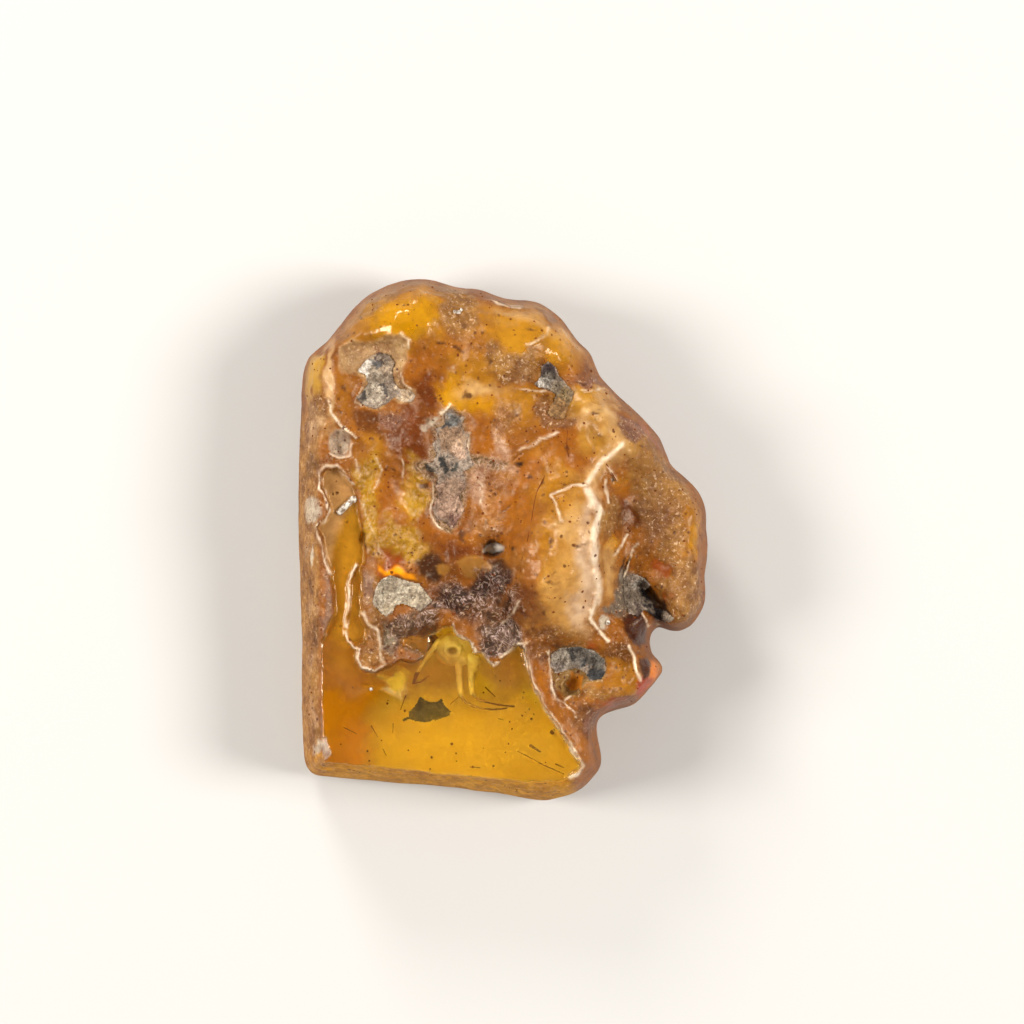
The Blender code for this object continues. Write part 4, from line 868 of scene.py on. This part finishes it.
def carve(lump):
    """The fine relief of the natural skin, the flat window, the worn edges and the pits."""
    mesh = lump.data
    places, normals = places_of(mesh), normals_of(mesh)
    front = ease((normals[:, 2] - FRONT_SLOPE) / 0.3)
    x, y = wander(places, FINE_WANDER)
    polished = polished_share(x, y) * front
    natural = front * (1.0 - polished)
    grain, creases = np.zeros(len(x)), np.zeros(len(x))
    wide = wander(places, WIDE_WANDER)
    for _, _, kind, edge, strength, shapes in PATCHES:
        share = patch_share(shapes, edge, wide, (x, y)) * strength
        grain = grain * (1.0 - share) + KINDS[kind][2] * share
        creases = creases * (1.0 - share) + (kind == "crazed") * share
    rough = relief(places, SKIN_SWELLS)
    rough += 0.05 * (0.5 - np.abs(lumps(places, 1.1, 12.0)))
    rough += creases * 0.16 * (0.5 - 2.0 * np.abs(lumps(places, 0.6, 15.0)))
    rough += grain * relief(places, SKIN_GRAINS)
    places += normals * (rough * np.where(front > 0.02, natural, FLANK_ROUGHNESS))[:, None]
    places[:, 2] += polished * (WINDOW_LEVEL - places[:, 2])
    uneven = 0.8 + 0.6 * lumps(places, 0.9, 17.0)
    for half_width, height, _, path in RIDGES.values():
        share = 1.0 - path_distance(x, y, path) / half_width
        places[:, 2] += height * uneven * ease(share) * front
    for depth, wall, loop in PITS.values():
        places[:, 2] -= depth * ease(depth_in(x, y, loop) / wall) * front
    places[:, 2] = np.maximum(places[:, 2], 0.0)
    move_points(mesh, places)


def worn_and_highlight_share(places, x, y):
    """How pale each point of an edge's crest is painted, as wear and as highlight. A full edge (1) is
    even, and a faint one broken.
    """
    crest_paint, broken = np.zeros(len(x)), relief(places, ((1.0, 0.7, 21.0), (0.5, 0.25, 22.0)))
    for half_width, _, pale, path in RIDGES.values():
        crest = ease(1.15 - path_distance(x, y, path) / (CREST_WIDTH * half_width))
        crest_paint = np.maximum(crest_paint, crest * pale * (0.85 + (1.7 - 1.1 * pale) * broken))
    return np.clip(crest_paint, 0.0, 1.0)


def finish_amber(lump):
    """Stores the colour of the skin and how it takes the light."""
    mesh = lump.data
    places, up = places_of(mesh), normals_of(mesh)[:, 2]
    fine, wide = wander(places, FINE_WANDER), wander(places, WIDE_WANDER)
    x, y = fine
    tint, finish, marks = (np.zeros((len(x), 3)) for _ in range(3))

    def lay(share, colour, values):
        """Blends a finish over what is there. A clear surface's tint counts for little."""
        under_weight = (1.0 - share[:, None]) * (finish[:, :1] + 0.02)
        over_weight = share[:, None] * (values[0] + 0.02)
        total = under_weight + over_weight
        tint[:] = (tint * under_weight + np.array(linear(colour)) * over_weight) / total
        finish[:] = over(finish, share, values[:3])
        marks[:] = over(marks, share, (*values[3:], 0.0))

    def lay_patches(patches, where):
        """Blends patches over what is there, each with its own kind of surface."""
        for _, colour, kind, edge, strength, shapes in patches:
            share = patch_share(shapes, edge, wide, fine) * strength * where
            lay(share, colour, KINDS[kind])

    front = ease((up - FRONT_SLOPE) / 0.2)
    left = ease((SAWN_LEFT_EDGE - x) / 0.3) * ease((SAWN_LEFT_TOP - y) / 2.0)
    lower = ease((SAWN_LOWER_EDGE - SAWN_LOWER_RISE * x - y) / 0.25)
    lower *= ease((SAWN_LOWER_ENDS[1] - x) / 0.8) * ease((x - SAWN_LOWER_ENDS[0]) / 1.8)
    for share, (colour, kind) in ((np.ones(len(x)), SKIN), (ease((0.75 - up) / 0.4), FLANK),
                                  (left, SAWN_LEFT), (lower, SAWN_LOWER)):
        lay(share, colour, KINDS[kind])
    high_flank = ease((up + 0.1) / 0.25) * ease((places[:, 2] - 4.0) / 2.5)
    lay_patches(PATCHES, np.maximum(front, high_flank))
    polished = polished_share(x, y) * front
    lay(polished, *WINDOW_FINISH)
    lay_patches(WINDOW_PATCHES, polished)
    # The pale crests of the edges: wear, and painted highlights
    lay(worn_and_highlight_share(places, x, y) * front, WORN_AND_HIGHLIGHT[0], KINDS[WORN_AND_HIGHLIGHT[1]])
    under = ease((-up - 0.4) / 0.4)
    lay(under, *BACK_FINISH)
    for _, colour, edge, strength, shapes in BACK_PATCHES:
        # The rind and the painted shadow are marked, because they show through from inside as well
        share = patch_share(shapes, edge, wide, fine) * strength * under
        tint[:] = over(tint, share, linear(colour))
        marks[:, 2] = np.maximum(marks[:, 2], share)
    for name, values in (("tint", tint), ("finish", finish), ("marks", marks)):
        paint(lump, name, values)


class Surface:
    """The finished amber, to put things on it."""

    def __init__(self, piece):
        mesh = piece.data
        corners = [v.co for v in mesh.vertices]
        self.tree = bvhtree.BVHTree.FromPolygons(corners, [p.vertices for p in mesh.polygons])

    def height(self, x, y):
        """The front's height at a place, in millimetres."""
        hit = self.tree.ray_cast(Vector((x * MM, y * MM, 0.05)), Vector((0, 0, -1)))[0]
        return None if hit is None else hit.z / MM


# ---- What is sealed in the amber, and what sticks to it ----

def insect():
    """The body and legs, modelled as balls and tubes and fused in one skin."""
    parts = [ball(*joint, detail=4) for joint in INSECT_BALLS.values()]
    for joints in INSECT_LIMBS.values():
        joints = [(x, y, INSECT_LEVEL + z, r) for x, y, z, r in joints]
        parts += [ball(*joint) for joint in joints]
        parts += [tube(a[:3], b[:3], a[3], b[3]) for a, b in zip(joints, joints[1:])]
    body = settle(join("insect_body", parts))
    fuse(body, INSECT_VOXEL)
    apply(body, "SMOOTH", factor=0.5, iterations=3)
    places = places_of(body.data)
    x, y, z = places.T
    tx, ty, tz, _ = THORAX
    dimple = ease(1.0 - np.hypot(x - tx - 0.05, 1.4 * (y - ty + 0.1)) / 0.5) * (z > tz)
    places[:, 2] -= 0.3 * dimple
    places[:, 2] += 0.015 * lumps(places, 0.16, 2.0)
    move_points(body.data, places)
    from_eye = np.linalg.norm(places - np.array(EYE[:3]), axis=1)
    colour = np.tile(linear("#ffe284"), (len(x), 1))
    for share, shade in (
            # Painted shade in the hollow of the thorax
            (ease(dimple * 1.4) * 0.85, "#9a6420"),  # the hollow of the thorax
            (ease((-8.9 - y) / 0.5) * 0.75, "#8a5220"),  # the lower legs
            (ease((x + 1.2) / 0.3) * (y < -9.0), "#6b3412"),  # the feet
            (ease((-4.0 - x) / 0.4) * (y > -7.0) * (z < INSECT_LEVEL), "#7c4a1c"),  # the abdomen
            (ease((EYE[3] + 0.06 - from_eye) / 0.08), "#c0641a"),
            (ease((y + 8.9) / 0.3) * ease((-4.2 - x) / 0.2) * (y < -7.8), "#9a5a20")):  # a tibia
        colour = over(colour, share, linear(shade))
    paint(body, "tint", colour)
    return smooth(body)


def wing():
    """The wing that lies beside the body."""
    plate = flat_piece("insect_wing", WING, INSECT_LEVEL - 0.1, PLATE_STEP)
    places = places_of(plate.data)
    places[:, 2] += 0.15 * (places[:, 0] + 5.0) + 0.02 * np.sin(places[:, 1] * 14.0)
    move_points(plate.data, places)
    apply(plate, "SOLIDIFY", thickness=WING_THICKNESS * MM, offset=-1.0)
    return plate


def flake():
    """A flake of bark: thin, bent and pitted."""
    plate = flat_piece("bark_flake_piece", FLAKE, FLAKE_LEVEL, PLATE_STEP)
    places = places_of(plate.data)
    places[:, 2] += 0.12 * (places[:, 1] + 10.0) + 0.06 * lumps(places, 0.5, 1.0)
    places[:, 2] += 0.03 * lumps(places, 0.12, 5.0)
    move_points(plate.data, places)
    apply(plate, "SOLIDIFY", thickness=FLAKE_THICKNESS * MM, offset=-1.0)
    return plate


def crust(name, surface):
    """Sediment in a pit: a lumpy skin over the amber, with loose grains stuck to it."""
    piled, outline, spots = CRUSTS[name]
    plate = flat_piece(name + "_crust", outline, 0.0, CRUST_STEP)
    places = places_of(plate.data)
    x, y = places[:, 0], places[:, 1]
    ground = np.array([surface.height(*p) or 0.0 for p in places[:, :2]])
    edge = np.sqrt(np.clip(depth_in(x, y, outline) / 0.3, 0.0, 1.0))
    rise = piled * edge * (1.0 + 0.5 * lumps(places, 0.5, 4.0))
    rise += 0.07 * edge * lumps(places, 0.2, 6.0) + 0.05 * edge * lumps(places, 0.11, 8.0)
    places[:, 2] = ground + np.maximum(rise, -0.02)
    move_points(plate.data, places)
    apply(plate, "SOLIDIFY", thickness=CRUST_THICKNESS * MM, offset=-1.0)
    rng = np.random.default_rng(SEED + len(name))
    grain = ball(0, 0, 0, 1.0, detail=1)
    top = places[depth_in(x, y, outline) > 0.06]
    chosen = rng.choice(len(top), min(CRUST_GRAINS, len(top) // 3), replace=False)
    grains = [grain_copy(grain, Vector(place) * MM, rng.uniform(*CRUST_GRAIN_RADII, 3),
                         rng.uniform(0.0, 3.0, 3)) for place in top[chosen]]
    bpy.data.objects.remove(grain)
    whole = settle(join(name + "_crust", [plate, *grains]))
    places = places_of(whole.data)
    x, y = wander(places, CRUST_WANDER)
    colour = np.tile(linear("#9c8a78"), (len(x), 1))
    for cx, cy, radius, shade in spots:
        share = ease((radius - np.hypot(x - cx, y - cy)) / (0.5 * radius) + 0.5)
        colour = over(colour, share, linear(shade))
    paint(whole, "tint", colour)
    return whole


def white_grains(surface):
    """Small white mineral grains on the skin, a rod of them in the tan facet, and bubbles made as white
    grains for a painted glint.
    """
    parts = [tube(*WHITE_ROD)]
    for x, y, radius in WHITE_GRAINS:
        parts.append(ball(x, y, surface.height(x, y) + 0.3 * radius, radius, detail=3))
    # The bubbles are white balls: painted glints
    parts += [ball(*spangle, detail=1) for spangle in SPANGLES]
    whole = settle(join("white_grains", parts))
    places = places_of(whole.data)
    places += 0.05 * lumps(places, 0.15, 3.0)[:, None] * normals_of(whole.data)
    move_points(whole.data, places)
    return smooth(whole)


def specks_and_rods(surface):
    """Dark specks and rods in the window, and grains and cracks of the skin, in one mesh."""
    rng = np.random.default_rng(SEED)
    parts = [ball(x, y, rng.uniform(*SPECK_LEVELS), radius, detail=1) for x, y, radius in SPECKS]
    for (ax, ay), (bx, by), radius in RODS:
        low, high = rng.uniform(*ROD_LEVELS, 2)
        parts.append(tube((ax, ay, low), (bx, by, high), radius, 0.6 * radius, sides=6))
    for crack in CRACKS:
        line = [(x, y, surface.height(x, y)) for x, y in crack]
        parts += [tube(a, b, CRACK_RADIUS, CRACK_RADIUS, sides=6) for a, b in zip(line, line[1:])]
    box, crest = np.array(CAD_BOX) / MM, RIDGES["dome crest"][-1]
    made = 0
    grain = ball(0, 0, 0, 1.0, detail=1)
    while made < SKIN_SPECKS:
        x, y = rng.uniform(box[0, :2], box[1, :2])
        height = surface.height(x, y)
        spot = np.array([x]), np.array([y])
        bare = depth_in(*spot, WINDOW)[0] > -0.2 or path_distance(*spot, crest)[0] < 0.9
        if bare or height is None or height < SPECKS_FROM:
            continue
        place = Vector((x, y, height - 0.02)) * MM
        scale = Vector(rng.uniform(*SKIN_SPECK_RADII, 3)) * rng.uniform(0.6, 1.4)
        parts.append(grain_copy(grain, place, scale, rng.uniform(0.0, 3.0, 3)))
        made += 1
    bpy.data.objects.remove(grain)
    return settle(join("specks", parts))


# ---- Materials ----

PLUS, MINUS, TIMES = ({"operation": name} for name in ("ADD", "SUBTRACT", "MULTIPLY"))
TIMES_PLUS = {"operation": "MULTIPLY_ADD"}
CLAMPED = {"use_clamp": True}
COLOURS = {"data_type": "RGBA"}  # such a Mix node's two colours are its inputs 6 and 7


def plug(tree, node, **links):
    """Gives a node's inputs, by name or number, what they are linked to or their own value."""
    for key, value in links.items():
        number = key.lstrip("_")
        socket = node.inputs[int(number) if number.isdigit() else key.replace("_", " ")]
        if isinstance(value, bpy.types.NodeSocket):
            tree.links.new(value, socket)
        else:
            socket.default_value = value


def add_node(tree, kind, settings=None, **links):
    """Adds a node with its settings and what goes into it."""
    node = tree.nodes.new("ShaderNode" + kind)
    for key, value in (settings or {}).items():
        setattr(node, key, value)
    plug(tree, node, **links)
    return node


def add(tree, kind, settings=None, **links):
    """Adds a node and gives its first output that is in use."""
    node = add_node(tree, kind, settings, **links)
    return next(output for output in node.outputs if output.enabled)


def two_tone(tree, pattern, low, high, first, second):
    """A pattern's two colours: the first one up to low, and the second one from high."""
    share = add(tree, "MapRange", Value=pattern, From_Min=low, From_Max=high)
    return add(tree, "Mix", COLOURS, Factor=share, _6=first, _7=second)


def dimmed(tree, colour, pattern, low, high, least, most):
    """A colour times a number, which goes from least to most as a pattern goes from low to high."""
    times = add(tree, "MapRange", Value=pattern, From_Min=low, From_Max=high, To_Min=least,
                To_Max=most)
    return add(tree, "VectorMath", {"operation": "SCALE"}, _0=colour, Scale=times)


def new_material(name):
    """A material with its tree, its shader and the place on the object that is shaded."""
    material = bpy.data.materials.new(name)
    material.use_nodes = True
    tree = material.node_tree
    place = add_node(tree, "TexCoord").outputs["Object"]
    return material, tree, tree.nodes["Principled BSDF"], place


def painted(tree, *names):
    """The values stored on the points of the mesh under these names."""
    return [add(tree, "Attribute", {"attribute_name": name}) for name in names]


def per_mm(millimetres):
    """The scale of a pattern whose lumps are this far apart."""
    return 1.0 / (millimetres * MM)


def stained(tree, tint, haze, grain, cloud, patch):
    """The skin's stain, which runs from red-brown to gold in small clouds."""
    share = add(tree, "Math", PLUS, _0=cloud, _1=patch)
    shade = two_tone(tree, share, 0.74, 1.26, (0.44, 0.33, 0.28, 1.0), (1.0, 1.03, 0.92, 1.0))
    share = add(tree, "Math", TIMES_PLUS | CLAMPED, _0=haze, _1=0.5, _2=grain)
    shade = add(tree, "Mix", COLOURS, Factor=share, _6=(1.0, 1.0, 1.0, 1.0), _7=shade)
    return add(tree, "VectorMath", TIMES, _0=tint, _1=shade)


def pored(tree, place, base, haze):
    """Pores: dark red-brown points a fifth of a millimetre wide, in about half of the cells."""
    bend = add_node(tree, "TexNoise", Vector=place, Scale=per_mm(0.25)).outputs["Color"]
    bent = add(tree, "MixRGB", {"blend_type": "LINEAR_LIGHT"}, Fac=0.00012, Color1=place,
               Color2=bend)
    cell = add_node(tree, "TexVoronoi", Vector=bent, Scale=per_mm(0.62))
    pore = add(tree, "MapRange", Value=cell.outputs["Distance"], From_Min=0.12, From_Max=0.2,
               To_Min=1.0, To_Max=0.0)
    kept = add(tree, "Math", {"operation": "GREATER_THAN"}, _0=cell.outputs["Color"], _1=0.52)
    pore = add(tree, "Math", TIMES, _0=pore, _1=kept)
    pore = add(tree, "Math", TIMES, _0=pore, _1=haze)
    return add(tree, "Mix", COLOURS, Factor=pore, _6=base, _7=rgba("#4c210c"))


def threaded(tree, place, base, threads, patch):
    """Threads: curly pale ridges where a smooth noise passes its middle, over dark hollows."""
    curl = add(tree, "TexNoise", Vector=place, Scale=per_mm(0.72), Detail=3.0, Roughness=0.6,
               Distortion=1.5)
    curl = add(tree, "Math", MINUS, _0=curl, _1=0.5)
    curl = add(tree, "Math", {"operation": "ABSOLUTE"}, _0=curl)
    thread = add(tree, "MapRange", Value=curl, From_Min=0.008, From_Max=0.04, To_Min=1.0,
                 To_Max=0.0)
    thread = add(tree, "Math", TIMES, _0=thread, _1=threads)
    fade = add(tree, "MapRange", Value=patch, From_Min=0.42, From_Max=0.6, To_Min=0.12, To_Max=1.0)
    thread = add(tree, "Math", TIMES, _0=thread, _1=fade)
    hollow = add(tree, "MapRange", Value=curl, From_Min=0.04, From_Max=0.13)
    hollow = add(tree, "Math", TIMES, _0=hollow, _1=threads)
    base = dimmed(tree, base, hollow, 0.0, 1.0, 1.0, 0.3)
    base = add(tree, "Mix", COLOURS, Factor=thread, _6=base, _7=rgba("#c2a698"))
    return base, thread


def amber_resin():
    """Amber is clear fossil resin. Its polish is like glass, its skin is hazy and grainy, and
    its golden colour deepens with the thickness that the light goes through."""
    material, tree, shader, place = new_material("fossil_resin")
    # The growth of the skin is drawn out down the flanks
    place = add(tree, "VectorMath", TIMES, _0=place, _1=(1.0, 1.0, 0.65))
    tint, finish, marks = painted(tree, "tint", "finish", "marks")
    haze, rough, grain = list(add_node(tree, "SeparateColor", Color=finish).outputs)
    threads, chips, rind_and_shadow = list(add_node(tree, "SeparateColor", Color=marks).outputs)
    grit, cloud, patch, wave = (
        add(tree, "TexNoise", Vector=place, Scale=per_mm(size), Detail=detail,
            Roughness=roughness)
        for size, detail, roughness in ((0.22, 4.0, 0.65), (1.3, 6.0, 0.62), (0.45, 3.0, 0.6),
                                        (0.6, 4.0, 0.5)))
    base = stained(tree, tint, haze, grain, cloud, patch)
    base = pored(tree, place, base, haze)
    base, thread = threaded(tree, place, base, threads, patch)
    # Chips: tiny pale bruises where the skin is worn or sawn
    chip = add(tree, "MapRange", Value=grit, From_Min=0.57, From_Max=0.66)
    chip = add(tree, "Math", TIMES, _0=chip, _1=chips)
    base = add(tree, "Mix", COLOURS, Factor=chip, _6=base, _7=rgba("#e0bc94"))
    # From inside, the skin and the back are painted near white to brighten the light that the window
    # gives back; only the rind and the painted shadow under the insect keep their colour
    brightened_inside = add(tree, "Mix", COLOURS, Factor=rind_and_shadow, _6=rgba("#fffaf0"), _7=tint)
    inner = add_node(tree, "NewGeometry").outputs["Backfacing"]
    base = add(tree, "Mix", COLOURS, Factor=inner, _6=base, _7=brightened_inside)
    cover = add(tree, "MapRange", Value=cloud, From_Min=0.3, From_Max=0.7, To_Min=-0.2, To_Max=0.2)
    cover = add(tree, "Math", TIMES_PLUS, _0=cover, _1=haze, _2=haze)
    clear = add(tree, "Math", MINUS | CLAMPED, _0=1.0, _1=cover)
    height = add(tree, "Math", TIMES, _0=grit, _1=grain)
    height = add(tree, "Math", TIMES_PLUS, _0=wave, _1=haze, _2=height)
    height = add(tree, "Math", TIMES_PLUS, _0=thread, _1=0.5, _2=height)
    bump = add(tree, "Bump", Strength=0.9, Distance=0.12 * MM, Height=height)
    plug(tree, shader, Base_Color=base, Transmission_Weight=clear, Roughness=rough, IOR=1.54,
         Specular_IOR_Level=0.25, Specular_Tint=rgba("#ffe6ca"), Normal=bump)
    depth = add(tree, "VolumeAbsorption", Color=rgba("#fff31a"), Density=225.0)
    plug(tree, tree.nodes["Material Output"], Volume=depth)
    return material


def insect_cuticle():
    """The insect's hard skin, cleared to yellow by the resin: smooth, with a satin shine."""
    material, tree, shader, place = new_material("insect_cuticle")
    cloud = add(tree, "TexNoise", Vector=place, Scale=per_mm(0.35), Detail=4.0)
    base = dimmed(tree, painted(tree, "tint")[0], cloud, 0.3, 0.7, 0.92, 1.15)
    bump = add(tree, "Bump", Strength=0.3, Distance=0.02 * MM, Height=cloud)
    plug(tree, shader, Base_Color=base, Normal=bump, Roughness=0.4)
    return material


def wing_membrane():
    """A thin brown wing with darker veins."""
    material, tree, shader, place = new_material("wing_membrane")
    veins = add_node(tree, "TexWave", {"bands_direction": "DIAGONAL"}, Vector=place,
                     Scale=per_mm(2.4), Distortion=3.0, Detail=2.0).outputs["Fac"]
    base = two_tone(tree, veins, 0.1, 0.3, rgba("#6a3c14"), rgba("#b0782a"))
    plug(tree, shader, Base_Color=base, Roughness=0.35, Transmission_Weight=0.3)
    return material


def dark_bark():
    """Charred-looking bark: brown with near-black and greyish patches, matte."""
    material, tree, shader, place = new_material("dark_bark")
    patch = add(tree, "TexNoise", Vector=place, Scale=per_mm(0.5), Detail=5.0, Roughness=0.6)
    base = two_tone(tree, patch, 0.4, 0.6, rgba("#2a1c1c"), rgba("#524240"))
    bump = add(tree, "Bump", Strength=0.6, Distance=0.04 * MM, Height=patch)
    plug(tree, shader, Base_Color=base, Normal=bump, Roughness=0.8)
    return material


def dry_sediment():
    """Dried clay and sand: matte grains of grey, white and brown."""
    material, tree, shader, place = new_material("dry_sediment")
    grit = add(tree, "TexNoise", Vector=place, Scale=per_mm(0.16), Detail=4.0, Roughness=0.7)
    # Clods: patches half a millimetre wide, from brown earth to whitish salt
    clod = add(tree, "TexNoise", Vector=place, Scale=per_mm(0.5), Detail=3.0, Roughness=0.6,
               Distortion=0.6)
    shade = two_tone(tree, clod, 0.42, 0.6, (0.68, 0.61, 0.55, 1.0), (1.22, 1.2, 1.17, 1.0))
    tint = add(tree, "VectorMath", TIMES, _0=painted(tree, "tint")[0], _1=shade)
    base = dimmed(tree, tint, grit, 0.35, 0.65, 0.45, 1.1)
    bump = add(tree, "Bump", Strength=0.8, Distance=0.05 * MM, Height=grit)
    plug(tree, shader, Base_Color=base, Normal=bump, Roughness=0.9)
    return material


def white_mineral():
    """White mineral grains, like quartz sand: smooth and shiny, with duller brown patches."""
    material, tree, shader, place = new_material("white_mineral")
    patch = add(tree, "TexNoise", Vector=place, Scale=per_mm(0.2), Detail=3.0)
    base = two_tone(tree, patch, 0.42, 0.56, rgba("#806c5a"), rgba("#cfc4b2"))
    plug(tree, shader, Base_Color=base, Roughness=0.12)
    return material


def dark_grains():
    """Specks of wood, dust and mineral: dark red-brown, matte."""
    material, tree, shader, place = new_material("dark_grains")
    patch = add(tree, "TexNoise", Vector=place, Scale=per_mm(0.4), Detail=2.0)
    base = add(tree, "Mix", COLOURS, Factor=patch, _6=rgba("#341606"), _7=rgba("#8a4410"))
    plug(tree, shader, Base_Color=base, Roughness=0.9, Specular_IOR_Level=0.2)
    return material


def pale_floor():
    """A plain pale grey studio floor, satin."""
    material, tree, shader, _ = new_material("pale_studio_floor")
    plug(tree, shader, Base_Color=rgba("#bdb9b3"), Roughness=0.7)
    return material


# ---- Studio ----

PIXEL = 0.06  # millimetres that one pixel shows
FRAME_WIDTH = 1024
MIDDLE = (0.6, 1.74)  # the place in the middle of the picture
LENS, SENSOR = 300.0, 36.0
RIM_HEIGHT = 3.0  # where the outline is widest
FLOOR_GAP = 0.02  # how far the floor lies under the amber
FLOOR_SIZE, LAMP_DISTANCE = 3.0, 0.42  # in metres
# Round lamps: (name, degrees from straight up, degrees round, power, size in metres)
LAMPS = (("key", 46, 0, 1.9, 0.16), ("fill", 50, 180, 1.7, 0.16), ("top", 62, 112, 1.1, 0.14))
# The sky is bright up to near its top, where a darker disc keeps the glints off the window
SKY_DISC, SKY_LIGHT = (0.93, 0.985), (0.42, 0.08)


def lamp(name, from_up, turn, power, size):
    """A round lamp that looks at the amber."""
    light = bpy.data.lights.new(name, "AREA")
    light.energy, light.size, light.shape = power, size, "DISK"
    stand = bpy.data.objects.new(name, light)
    a, t = math.radians(from_up), math.radians(turn)
    away = Vector((math.sin(a) * math.cos(t), math.sin(a) * math.sin(t), math.cos(a)))
    stand.location = away * LAMP_DISTANCE
    stand.rotation_euler = away.to_track_quat("Z", "Y").to_euler()
    bpy.context.scene.collection.objects.link(stand)


def studio():
    """The floor, the camera straight above, three lamps and a dim sky."""
    scene = bpy.context.scene
    bpy.ops.mesh.primitive_plane_add(size=FLOOR_SIZE, location=(0, 0, -FLOOR_GAP * MM))
    floor = bpy.context.object
    floor.name = "floor"
    floor.data.materials.append(pale_floor())
    camera = bpy.data.cameras.new("camera")
    camera.lens, camera.sensor_width = LENS, SENSOR
    camera.clip_start = 0.01
    stand = bpy.data.objects.new("camera", camera)
    away = PIXEL * FRAME_WIDTH * LENS / SENSOR
    stand.location = (MIDDLE[0] * MM, MIDDLE[1] * MM, (RIM_HEIGHT + away) * MM)
    scene.collection.objects.link(stand)
    scene.camera = stand
    for settings in LAMPS:
        lamp(*settings)
    world = bpy.data.worlds.new("studio")
    world.use_nodes = True
    tree = world.node_tree
    up = add_node(tree, "SeparateXYZ", Vector=add(tree, "TexCoord")).outputs["Z"]
    light = add(tree, "MapRange", Value=up, From_Min=SKY_DISC[0], From_Max=SKY_DISC[1],
                To_Min=SKY_LIGHT[0], To_Max=SKY_LIGHT[1])
    plug(tree, tree.nodes["Background"], Strength=light, Color=(1.0, 0.98, 0.95, 1.0))
    scene.world = world
    scene.view_settings.view_transform = "Standard"


def dress(piece, material, slot, *nodes):
    """Gives a piece its finish, hangs it on the root body and hides the solids that it stands for. The
    slot is not used.
    """
    piece.data.materials.clear()
    piece.data.materials.append(material)
    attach(piece, "root")
    if nodes:
        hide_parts(*nodes)


def main():
    """Makes every piece and the studio."""
    amber = whole_lump()
    carve(amber)
    finish_amber(amber)
    surface = Surface(smooth(amber))
    dress(amber, amber_resin(), "amber", "amber_upper", "amber_lower")
    dress(insect(), insect_cuticle(), "insect", "insect")
    dress(wing(), wing_membrane(), "insect")
    dress(flake(), dark_bark(), "bark", "bark_flake")
    sediment = dry_sediment()
    for name in CRUSTS:
        dress(crust(name, surface), sediment, "sediment", name)
    dress(white_grains(surface), white_mineral(), "sediment")
    dress(specks_and_rods(surface), dark_grains(), "bark")
    studio()


main()
bpy.context.view_layer.update()
